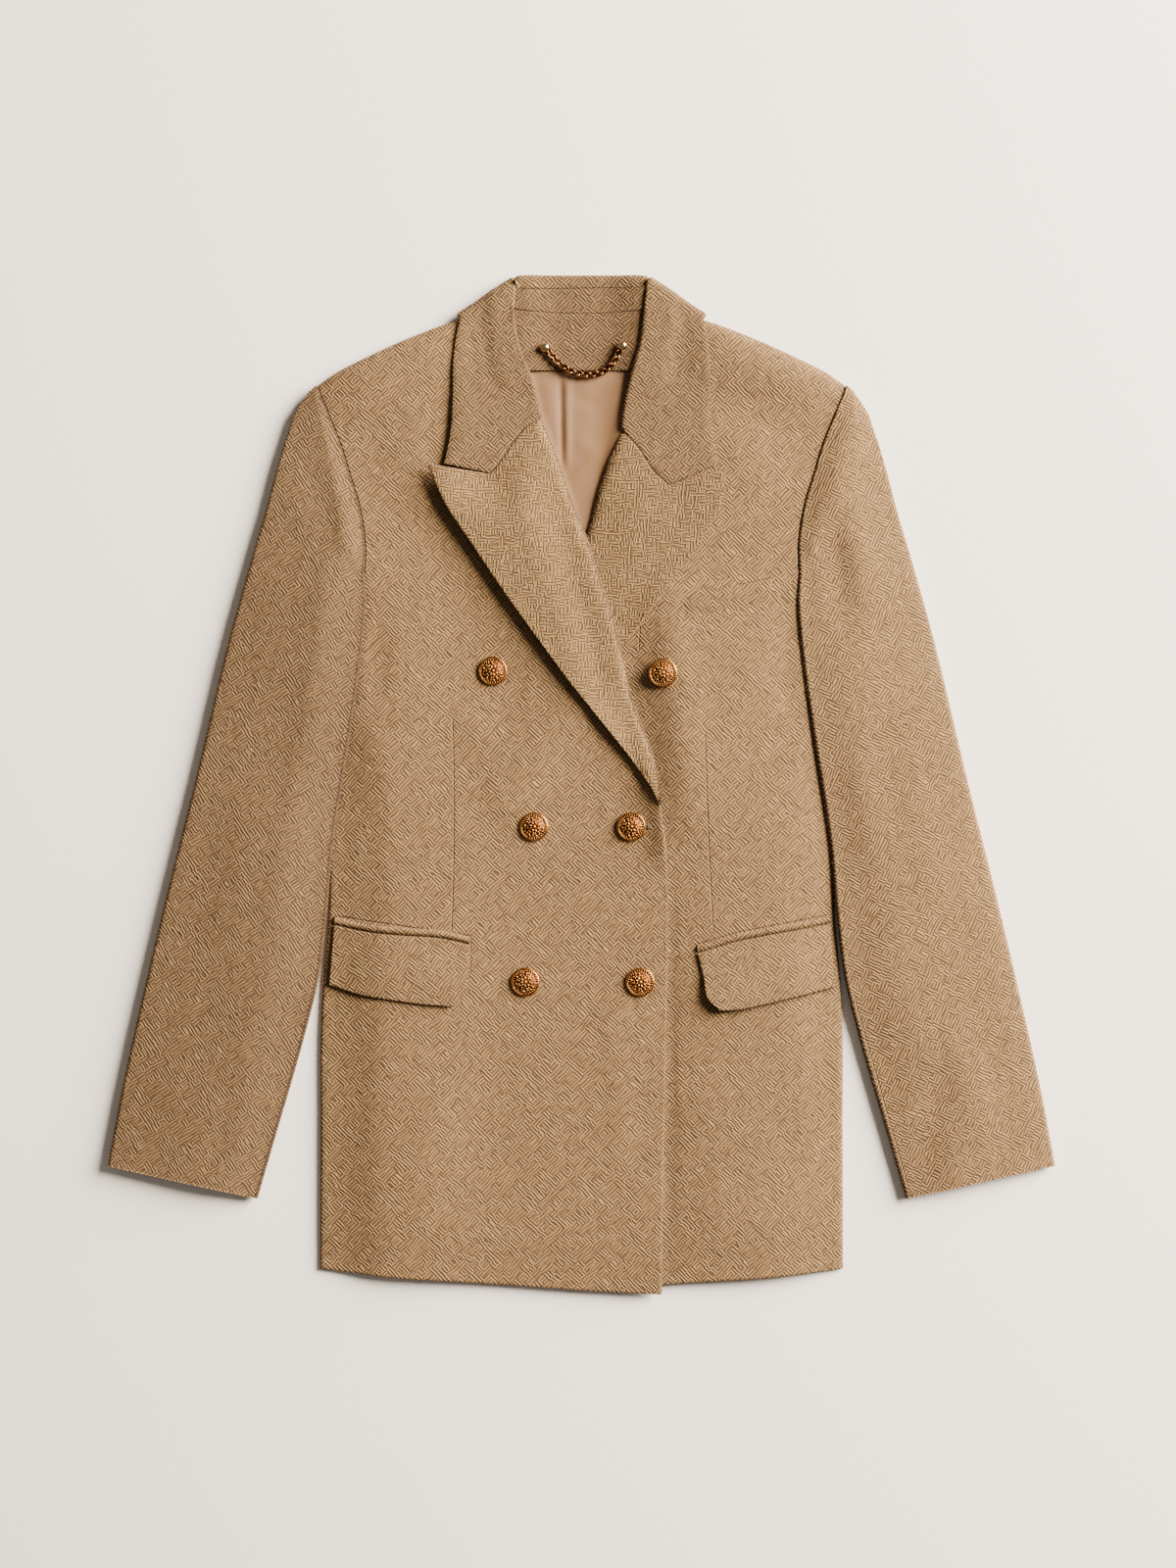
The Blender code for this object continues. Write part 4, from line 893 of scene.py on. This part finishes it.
facing = acrossPlan(neckCut["facingLow"], bodyCut["backNeck"], 14, 12)
facingGrid = pile.settle(facing, 0, cloth["facing"], gap=0.4, bridge=10)
facingGrid[..., 2] += 0.75 * neckRise(facing[..., 0])
pile.lay(facingGrid, cloth["facing"])
clothPiece("neckFacing", facingGrid, cloth["facing"], neckWeave, backWeave, ["neck_facing"],
           restsOn=["leftBack", "rightBack"], rimShare=0.5)
stand = acrossPlan(neckCut["standLow"], neckCut["standHigh"], 12, 4)
standGrid = np.dstack((stand, neckCut["standHeight"] + neckRise(stand[..., 0])))
clothPiece("collarStand", standGrid, coating, neckWeave, backWeave, ["collar_stand"], rimShare=0.5)
print("back and neck laid")


# fronts with their lapels, the wearer's left first
# thin rims in the darker cloth: painted shade along the edges of the fronts, lapels and collar
shadedRim = {"rimShare": 0.5, "rim": softEdgeShadeWeave}
frontFolds = {   # out, up, out, up, width, height
    "left": ((73.5, -70, 70.5, -400, 3, -1.3), (95, 360, 205, 315, 26, 4.5),
             (70, 155, 84, -30, 22, 5.2), (112, 160, 116, -30, 38, 3.4),
             (172, 150, 168, 60, 14, -1.6),
             (150, 230, 120, 300, 24, 1.6), (186, -20, 190, -110, 12, 1.2),
             (100, -240, 112, -380, 30, 1), (168, -260, 172, -390, 16, -0.9),
             (40, -200, 52, -330, 20, -0.8)),
    "right": ((-12, 70, 102, 236, 26, 2.2), (95, 360, 205, 315, 26, 5),
              (-64, 24, -69, -66, 12, 6.2), (150, 240, 128, 310, 22, 1.4),
              (170, 140, 166, 50, 13, -1.6), (60, 10, 96, 60, 20, 1.6),
              (120, -230, 128, -370, 26, 1.1), (182, -30, 188, -120, 11, 1.2),
              (20, -230, 8, -390, 24, -0.9), (-30, -180, -34, -330, 16, 0.8)),
}
rollingSeed = {"front": {"left": 1.3, "right": 4.1}, "sleeve": {"left": 2.2, "right": 5.3}}
for side in sides:
    plan = frontPlan(side)
    height = frontHeight(side, plan)
    height += creased(plan, frontFolds[side]) + 0.55 * rolling(plan, rollingSeed["front"][side])
    grid = pile.settle(toSide(plan, side), height, coating, frontShare(side, plan))
    pile.lay(grid, coating)
    clothPiece(side + "Front", grid, coating, bodyWeave[side], backWeave,
               ["front_" + side], restsOn=["leftBack", "rightBack"], **shadedRim)
    plan = lapelPlan(side)
    grid = pile.settle(toSide(plan, side), lapelHeight(side, plan), coating,
                       lapelShare(side, plan))
    pile.lay(grid, coating)
    piece = clothPiece(side + "Lapel", grid, coating, lapelWeave, lapelWeave,
                       ["lapel_" + side], held="folded", restsOn=[side + "Front"], **shadedRim)
    # painted shade along the roll of the lapel
    shadeAlong(piece, toSide(smoothCurve(lapelCut[side]["roll"]), side))
halves = [np.concatenate((collarFrontRows(side), toSide(collarUnderRows(), side)[1:]))
          for side in ("right", "left")]
collarGrid = np.concatenate((halves[0], halves[1][-2::-1]))
for half in halves:
    pile.lay(half[:collarCut["frontRows"] + 1, hooked:], coating)
piece = clothPiece("collarFall", collarGrid, coating, collarWeave, collarWeave, ["collar"],
                   held="folded", restsOn=["leftFront", "rightFront"], **shadedRim)
# painted shade along the rolls of the collar
for side in sides:
    shadeAlong(piece, toSide(smoothCurve(collarCut[side]["roll"][:-1]), side), reach=2.6)
print("fronts, lapels and collar laid")


# pockets
# each flap's rim is in a darker cloth: painted shade along its edges
pocketCut = {
    "right": {"top": ((91.1, -130.4), (100.4, -127.8), (118, -124.6), (145.4, -122.8),
                      (177.4, -119.6), (202, -114.2)),
              "low": ((105, -181), (127, -179.3), (154.5, -175.6), (182, -171),
                      (206, -163.4)),
              "front": ((91.1, -130.4), (92.4, -150), (96.4, -172), (105, -181)),
              "spring": 0.8, "drop": 0.7, "rim": softEdgeShadeWeave},
    "left": {"top": ((93.8, -137.2), (106.3, -133.4), (123.8, -128.1), (145, -123.6),
                     (174.2, -118.4), (202.6, -113)),
             "low": ((112, -184.2), (125.7, -183.6), (145, -179.9), (174.2, -173.1),
                     (206.4, -165)),
             "front": ((93.8, -137.2), (98.4, -155), (103, -176), (112, -184.2)),
             "spring": 3, "drop": 1.4, "rim": deepEdgeShadeWeave},
    "jetWidth": 5.6, "rib": 2, "ribSink": 0.6,
    "springFade": (95, 160), "springRise": (8, 50),   # out along the flap, down from its top
    "belly": 0.8, "depth": 58,
}


def onFront(side, plan, lift, thickness, sewnTo=None):   # settles a small piece on a front
    base = 1.3 * coating
    height = base + (frontHeight(side, plan) - base) * frontShare(side, plan)
    height += coating / 2 + sewing + thickness / 2 + lift
    return pile.settle(toSide(plan, side), height, thickness, gap=0.4, bridge=4,
                       sewnTo=None if sewnTo is None else toSide(sewnTo, side))


for side in sides:
    cut = pocketCut[side]
    top, low = (evenly(cut[edge], 30) for edge in ("top", "low"))
    end = lineOf(cut["top"][-1], cut["low"][-1], 14)
    flap = addEdges(fillPatch(evenly(cut["front"], 14), end, top, low))
    depth = gapToKnots(flap, cut["top"])
    spring = cut["spring"] * (1 - easeStep(flap[..., 0], *pocketCut["springFade"])) + cut["drop"]
    spring = spring * easeStep(depth, *pocketCut["springRise"])
    belly = pocketCut["belly"] * np.sin(np.clip(depth / pocketCut["depth"], 0, 1) * math.pi)
    flapGrid = onFront(side, flap, spring + belly, coating)
    width = pocketCut["jetWidth"]
    jet = addEdges(np.stack([top + (0, 2 * sewing + width * k / 4) for k in range(5)]))
    rib = np.sin(np.clip((jet[..., 1] - jet[:1, :, 1]) / width, 0, 1) * math.pi)
    rib = pocketCut["rib"] * rib - pocketCut["ribSink"]
    jetGrid = onFront(side, jet, rib, cloth["facing"], smoothCurve(cut["top"]))
    pile.lay(flapGrid, coating)
    pile.lay(jetGrid, cloth["facing"])
    # the jets' rims are in the darkest cloth: painted shade along their edges
    trim = wallPiece(side + "Jet", jetGrid, cloth["facing"], flapWeave, flapWeave, ["jet_" + side],
                     rim=deepEdgeShadeWeave)
    clothPiece(side + "Flap", flapGrid, coating, flapWeave, satinLining, ["flap_" + side],
               restsOn=[side + "Front"], trims=[trim], rimShare=0.8, rim=cut["rim"])

weltCut = {"corners": ((74.8, 122), (151.6, 138.2), (155.2, 167.4), (74.8, 150.2)),
           "thickness": 1, "sink": 2.8, "sinkWidth": 24}   # sunk where it is sewn in
welt = np.array(weltCut["corners"])
weltEdges = ((0, 3, 7), (1, 2, 7), (0, 1, 20), (3, 2, 20))   # from corner, to corner, steps
weltEdges = [spacedAlong(welt[[start, end]], count) for start, end, count in weltEdges]
weltGrid = addEdges(fillPatch(*weltEdges))
weltGap = np.minimum(gapTo(weltGrid, welt[[0, 3]]), gapTo(weltGrid, welt[[0, 1]]))
weltGrid = pile.settle(weltGrid, 0, weltCut["thickness"], gap=0.25, bridge=3)
weltGrid[..., 2] -= weltCut["sink"] * (1 - easeStep(weltGap, 0, weltCut["sinkWidth"]))
clothPiece("chestWelt", weltGrid, weltCut["thickness"], bodyWeave["left"], flapWeave,
           ["chest_welt"], restsOn=["leftFront"], rimShare=0.3)
print("pockets laid")


# sleeves, each a closed tube laid flat
def sleevePlan():
    shift = (0.5 + sewing, 0)
    seam = evenly(bodyCut["armhole"], 40)[::-1] + shift
    inner = joinRuns(seam, evenly(sleeveCut["inner"], 116) + shift)
    outer = joinRuns(evenly(sleeveCut["head"], 40), evenly(sleeveCut["outer"], 116))
    ends = [lineOf(inner[k], outer[k], 26) for k in (0, -1)]
    return addEdges(fillPatch(inner, outer, *ends))


def sleeveTube(side):
    cut, plan = sleeveCut, sleevePlan()
    placed = toSide(plan, side)
    seam = smoothCurve(bodyCut["armhole"])
    seam = seam[seam[:, 1] > 182]
    low = pile.settle(placed, coating / 2, coating, sewnTo=toSide(seam, side),
                      bridge=22, stiff=0.97)[..., 2]
    onBody = easeStep(low[:, 0], *cut["onBody"])
    onSeam = easeStep(plan[:, 0, 1], *cut["onSeam"])
    seamLevel = pile.under(placed[:, 0], ring=2) - coating / 2 + cut["seamRise"][side]
    foldLevel = low[:, 0] + cut["foldRise"] - cut["bodyDrop"] * onBody
    innerLevel = onSeam * seamLevel + (1 - onSeam) * foldLevel
    for _ in range(cut["smoothing"]["inner"]):
        innerLevel[1:-1] = (innerLevel[:-2] + 2 * innerLevel[1:-1] + innerLevel[2:]) / 4
    outerLevel = low[:, -1] + cut["outerRise"][side]
    across = np.linalg.norm(np.diff(plan, axis=1), axis=2).cumsum(axis=1)
    u = np.hstack((np.zeros((len(plan), 1)), across / across[:, -1:]))
    edge = innerLevel[:, None] * (1 - u) + outerLevel[:, None] * u
    high = edge + cut["innerCrown"][side] * (1 - u) + cut["outerCrown"][side] * u
    high = np.maximum(high, low + cut["room"]["laid"])
    for _ in range(cut["smoothing"]["crown"]):
        high = neighbourMean(high)
    high = high + creased(plan, cut["folds"][side])
    high = high + 0.5 * rolling(plan, rollingSeed["sleeve"][side])
    high = np.maximum(high, low + cut["room"]["folded"])
    outline = joinRuns(smoothCurve(bodyCut["shoulder"]), smoothCurve(cut["head"]),
                       smoothCurve(cut["outer"]))
    fold = gapToKnots(plan, cut["inner"])
    sewn = gapTo(plan, seam)
    part, width = cut["foldRound"]
    rise = part * roundOver(fold, width) + (1 - part) * easeStep(fold, 0, cut["foldWidth"][side])
    edgeGap, sharp = gapTo(plan, outline), cut["sharp"][side]
    tight, soft = cut["turnRound"]
    fall = sharp * roundOver(edgeGap, tight) + (1 - sharp) * easeStep(edgeGap, 0, soft)
    share = np.minimum(fall, np.minimum(rise, easeStep(sewn, *cut["sewnFade"])))
    under = roundOver(np.minimum(np.minimum(edgeGap, fold), sewn), cut["underRound"])
    upper, lower = edge + (high - edge) * share, edge - (edge - low) * under
    lower = np.minimum(np.maximum(lower, coating / 2), upper - 1.7 * under)
    upper, lower = np.dstack((placed, upper)), np.dstack((placed, lower))
    return upper, np.concatenate((upper, lower[:, -2:0:-1]), axis=1)


def tubeMesh(ring, thickness):   # wall of a tube that is open at both ends, from its outside
    rows, columns = ring.shape[:2]
    around = np.roll(ring, -1, axis=1) - np.roll(ring, 1, axis=1)
    normal = unit(np.cross(around, np.gradient(ring, axis=0)))
    inward = normal[rows // 2, columns // 4, 2] < 0
    offset = (-normal if inward else normal) * thickness / 2
    ids = np.arange(rows * columns).reshape(rows, columns)
    after = np.roll(ids, -1, axis=1)
    wall = np.dstack((ids[:-1], after[:-1], after[1:], ids[1:])).reshape(-1, 4)
    count = rows * columns
    faces = [wall, wall[:, ::-1] + count]
    for row, step in ((0, 1), (rows - 1, -1)):
        end = np.column_stack((ids[row], after[row], after[row] + count, ids[row] + count))
        faces.append(end[:, ::step])
    faces = np.vstack(faces)[:, ::-1 if inward else 1]
    looks = np.zeros(len(faces), dtype=np.int32)
    looks[len(wall):2 * len(wall)] = 1
    column = np.arange(len(wall)) % columns
    looks[:len(wall)][(column < 2) | (column > columns - 3)] = 2   # painted shade along the inner fold
    points = np.vstack([grid.reshape(-1, 3) for grid in (ring + offset, ring - offset)])
    return points, faces.tolist(), looks


for side in sides:
    upper, ring = sleeveTube(side)
    pile.lay(upper, coating)
    points, faces, looks = tubeMesh(ring, coating)
    materials = [sleeveWeave[side], satinLining, foldShadeWeave[side]]
    piece = makePiece(side + "Sleeve", points, faces, materials,
                      ["top_sleeve_" + side, "under_sleeve_" + side], looks)
    flat, area = cutSize(np.concatenate((ring, ring[:, :1]), axis=1))
    print(side + "Sleeve", "cut", flat, "area", area)
print("sleeves laid")


# buttons
buttonLook = {
    "spots": ((-72.4, 92.4), (66, 90.8), (-38.8, -34.4), (40.4, -34.4), (-46, -160.8),
              (47.6, -160.8)),
    "turns": (0.3, 1.1, 2, 0.7, 1.6, 2.7),
    "profile": ((0, 4.4), (2, 4.3), (4.2, 3.9), (6.2, 3.2), (8.2, 2.3), (9.4, 1.5), (10, 1.9),
                (10.6, 2.2), (11.2, 2), (11.75, 1.5), (11.85, 0.9), (11.2, 0.4), (9, 0.3),
                (4, 0.2), (3.2, 0.1), (3.2, 0), (0, 0)),
    "dish": 5,               # rings of the profile that keep the dark patina
    "steps": 48,
    "beads": 30,             # round the rim
    "petals": 8,             # round the centre
    "leaves": 16,            # between the petals and the beads
    # raised grains: distance from the middle, height, size
    "bead": (9.4, 1.9, (0.68, 0.68, 0.6)), "petal": (3.3, 4.1, (1.75, 0.95, 0.85)),
    "lobe": (5.3, 3.6, (0.85, 0.72, 0.66)), "leaf": (7.3, 2.8, (1.6, 0.72, 0.68)),
    "seed": (8.1, 2.4, (0.55, 0.5, 0.5)),
    "lobeShares": (0.32, 0.68), "leafLean": 0.75, "seedAhead": 0.18,
}


class MeshParts:   # gathers shapes into one mesh
    def __init__(self):
        self.points, self.faces, self.looks, self.count = [], [], [], 0

    def add(self, points, faces, look=0):
        self.points.append(np.asarray(points, float))
        self.faces += [tuple(k + self.count for k in face) for face in faces]
        self.looks += list(look) if np.ndim(look) else [look] * len(faces)
        self.count += len(points)

    def piece(self, name, materials, slotName, nodes):
        points = np.vstack(self.points)
        return makePiece(name, points, self.faces, materials, nodes, self.looks)


def latheShape(profile, steps):
    rings = [(r, z) for r, z in profile if r > 0]
    angles = np.linspace(0, 2 * math.pi, steps, endpoint=False)
    points = [(0, 0, profile[0][1])]
    for r, z in rings:
        points += [(r * math.cos(a), r * math.sin(a), z) for a in angles]
    points.append((0, 0, profile[-1][1]))
    faces = [(0, 1 + k, 1 + (k + 1) % steps) for k in range(steps)]
    looks = [0] * steps
    for ring in range(len(rings) - 1):
        a, b = 1 + ring * steps, 1 + (ring + 1) * steps
        faces += [(a + k, b + k, b + (k + 1) % steps, a + (k + 1) % steps) for k in range(steps)]
        looks += [ring] * steps
    last, end = 1 + (len(rings) - 1) * steps, len(points) - 1
    faces += [(last + k, end, last + (k + 1) % steps) for k in range(steps)]
    looks += [0] * steps
    return np.array(points), faces, looks


def roundTurns(count, start=0):
    return [2 * math.pi * (k + start) / count for k in range(count)]


def ballShape(centre, size, turn=0, rings=6, steps=10):
    falls = [math.pi * ring / rings for ring in range(1, rings)]
    profile = [(0, 1)] + [(math.sin(fall), math.cos(fall)) for fall in falls] + [(0, -1)]
    points, faces, _ = latheShape(profile, steps)
    return turned(points * size, turn) + centre, faces


def grainShape(kind, angle, turn=0.0):
    radius, height, size = buttonLook[kind]
    return ballShape((radius * math.cos(angle), radius * math.sin(angle), height), size, turn)


for number, (spot, turn) in enumerate(zip(buttonLook["spots"], buttonLook["turns"]), 1):
    parts = MeshParts()
    points, faces, rings = latheShape(buttonLook["profile"], buttonLook["steps"])
    parts.add(points, faces, [1 if ring < buttonLook["dish"] else 0 for ring in rings])
    for angle in roundTurns(buttonLook["beads"]):
        parts.add(*grainShape("bead", angle))
    for angle in roundTurns(buttonLook["petals"]):
        parts.add(*grainShape("petal", angle, angle))
        for share in buttonLook["lobeShares"]:
            between = angle + share * 2 * math.pi / buttonLook["petals"]
            parts.add(*grainShape("lobe", between, angle + share))
    for k, angle in enumerate(roundTurns(buttonLook["leaves"], 0.5)):
        lean = buttonLook["leafLean"] * (1 if k % 2 else -1)
        parts.add(*grainShape("leaf", angle, angle + lean))
        parts.add(*grainShape("seed", angle + buttonLook["seedAhead"]))
    parts.add(*ballShape((0, 0, 4.4), (1.6, 1.6, 0.95), rings=8, steps=16))
    height = pile.under(np.array([spot])).max() + sewing
    parts.points = [turned(points, turn) + (*spot, height) for points in parts.points]
    parts.piece(f"button{number}", [burnishedGold, darkPatina], "antique_gold",
                [f"button_{number}"])

holeLook = {
    "lines": ((30, 55.6, -34.2), (27.2, 52, -160.9)),   # from x, to x, up
    "pitch": 0.62, "sink": 0.35, "lip": 0.75, "stitch": (0.3, 0.85, 0.42),
    "endStitch": (0.8, 0.3, 0.42), "endTurns": (-1.3, 1.3, 7), "endReach": (0.9, 1.1),
}
far, wide = holeLook["endReach"]
for number, (start, end, up) in enumerate(holeLook["lines"], 1):
    parts = MeshParts()
    for x in np.arange(start, end, holeLook["pitch"]):
        height = pile.under(np.array([(x, up)])).max() - holeLook["sink"]
        for row in (-1, 1):
            spot = (x, up + row * holeLook["lip"], height)
            parts.add(*ballShape(spot, holeLook["stitch"], rings=4, steps=6))
    for turn in np.linspace(*holeLook["endTurns"]):
        spot = (end + far * math.cos(turn), up + wide * math.sin(turn), height)
        parts.add(*ballShape(spot, holeLook["endStitch"], turn, rings=4, steps=6))
    middle = ((start + end) / 2, up, height - 0.1)
    parts.add(*ballShape(middle, ((end - start) / 2, 0.3, 0.3), steps=24), 1)
    parts.piece(f"buttonhole{number}", [buttonholeThread, holeShade], "coating", [])
print("buttons made")


# neck chain
chainLook = {
    "studs": {"right": (-30, 355.6), "left": (33.2, 357.2)},
    "route": ((-29, 354.8), (-20, 344.2), (-8.6, 336.2), (4.6, 333.2), (16.6, 336),
              (26.2, 344.6), (32.2, 356.2)),
    "pitch": 3.15, "long": 2.95, "wide": 2.3, "wire": 0.9, "lean": 0.45, "gap": 2.2,
    "linkSteps": 22, "wireSteps": 8, "smoothing": 12,
    "studProfile": ((0, 5.8), (1.4, 5.6), (2.8, 4.9), (3.7, 3.8), (4, 2.8), (3.7, 1.9), (2.8, 1.2),
                    (2.1, 0.9), (2.9, 0.5), (3.1, 0.3), (2.9, 0), (0, 0)),
}
for side, spot in chainLook["studs"].items():
    parts = MeshParts()
    points, faces, _ = latheShape(chainLook["studProfile"], 28)
    height = pile.under(np.array([spot])).max() + sewing
    parts.add(points + (*spot, height), faces)
    parts.piece(side + "ChainStud", [brightGold], "antique_gold", ["chain_stud_" + side])


def linkShape(centre, ahead, aside, up, look):
    points, faces = [], []
    steps, rim = look["linkSteps"], look["wireSteps"]
    for k, angle in enumerate(roundTurns(steps)):
        out = look["long"] * math.cos(angle) * ahead + look["wide"] * math.sin(angle) * aside
        spoke = math.cos(angle) * ahead + math.sin(angle) * aside
        for j, turn in enumerate(roundTurns(rim)):
            wire = look["wire"] * (math.cos(turn) * spoke + math.sin(turn) * up)
            points.append(centre + out + wire)
            a, b = k * rim + j, k * rim + (j + 1) % rim
            faces.append((a, (a + rim) % (steps * rim), (b + rim) % (steps * rim), b))
    return np.array(points), faces


route = smoothCurve(chainLook["route"])
length = np.linalg.norm(np.diff(route, axis=0), axis=1).sum()
spots = spacedAlong(route, int(length / chainLook["pitch"]))
heights = pile.under(spots) + chainLook["gap"]
for _ in range(chainLook["smoothing"]):
    heights[1:-1] = np.maximum(heights[1:-1], (heights[:-2] + heights[2:]) / 2)
parts = MeshParts()
for k, spot in enumerate(spots):
    run = spots[min(k + 1, len(spots) - 1)] - spots[max(k - 1, 0)]
    ahead = np.append(run / np.linalg.norm(run), 0)
    flat = np.array((-ahead[1], ahead[0], 0))
    lean = chainLook["lean"] * (1 if k % 2 else -1)
    aside = flat * math.cos(lean) + np.array((0, 0, 1)) * math.sin(lean)
    up = np.cross(ahead, aside)
    parts.add(*linkShape(np.append(spot, heights[k]), ahead, aside, up, chainLook))
parts.piece("neckChain", [chainGold], "antique_gold", ["hanger_chain"])
print("chain made, length", round(length), "mm")


# floor and light
floorLook = {"half": 4, "level": -0.0004,   # m
             "colours": ((0.95, 0.835, 0.705), (0.97, 0.855, 0.725))}
floorMesh = bpy.data.meshes.new("paleFloor")
corners = [(x * floorLook["half"], y * floorLook["half"], floorLook["level"])
           for x, y in ((-1, -1), (1, -1), (1, 1), (-1, 1))]
floorMesh.from_pydata(corners, [], [(0, 1, 2, 3)])
paleFloor = newObject("paleFloor", floorMesh)
board = NodeBoard("paleFloor")
grain = board.noise(board.place, 420, 3)
floorColour = board.blend(grain, *floorLook["colours"])
board.feed(board.shader.inputs["Base Color"], floorColour)
board.shader.inputs["Roughness"].default_value = 0.95
floorMesh.materials.append(board.material)

keyLamp = {"place": (3.45, 1.83, 1.8), "size": 3.4, "power": 1640, "colour": (1, 0.97, 0.93)}
room = {"colour": (1, 0.98, 0.96, 1), "strength": 0.2}
lampData = bpy.data.lights.new("keyLamp", "AREA")
lampData.shape = "DISK"
lampData.size = keyLamp["size"]
lampData.energy = keyLamp["power"]
lampData.color = keyLamp["colour"]
lamp = newObject("keyLamp", lampData)
lamp.location = keyLamp["place"]
aim = -np.array(keyLamp["place"]) / np.linalg.norm(keyLamp["place"])   # at the garment's middle
lamp.rotation_euler = (math.acos(-aim[2]), 0, math.atan2(-aim[0], aim[1]))
world = bpy.data.worlds.new("paleRoom")
world.use_nodes = True
background = world.node_tree.nodes["Background"].inputs
background["Color"].default_value = room["colour"]
background["Strength"].default_value = room["strength"]
bpy.context.scene.world = world
print("floor and light set")
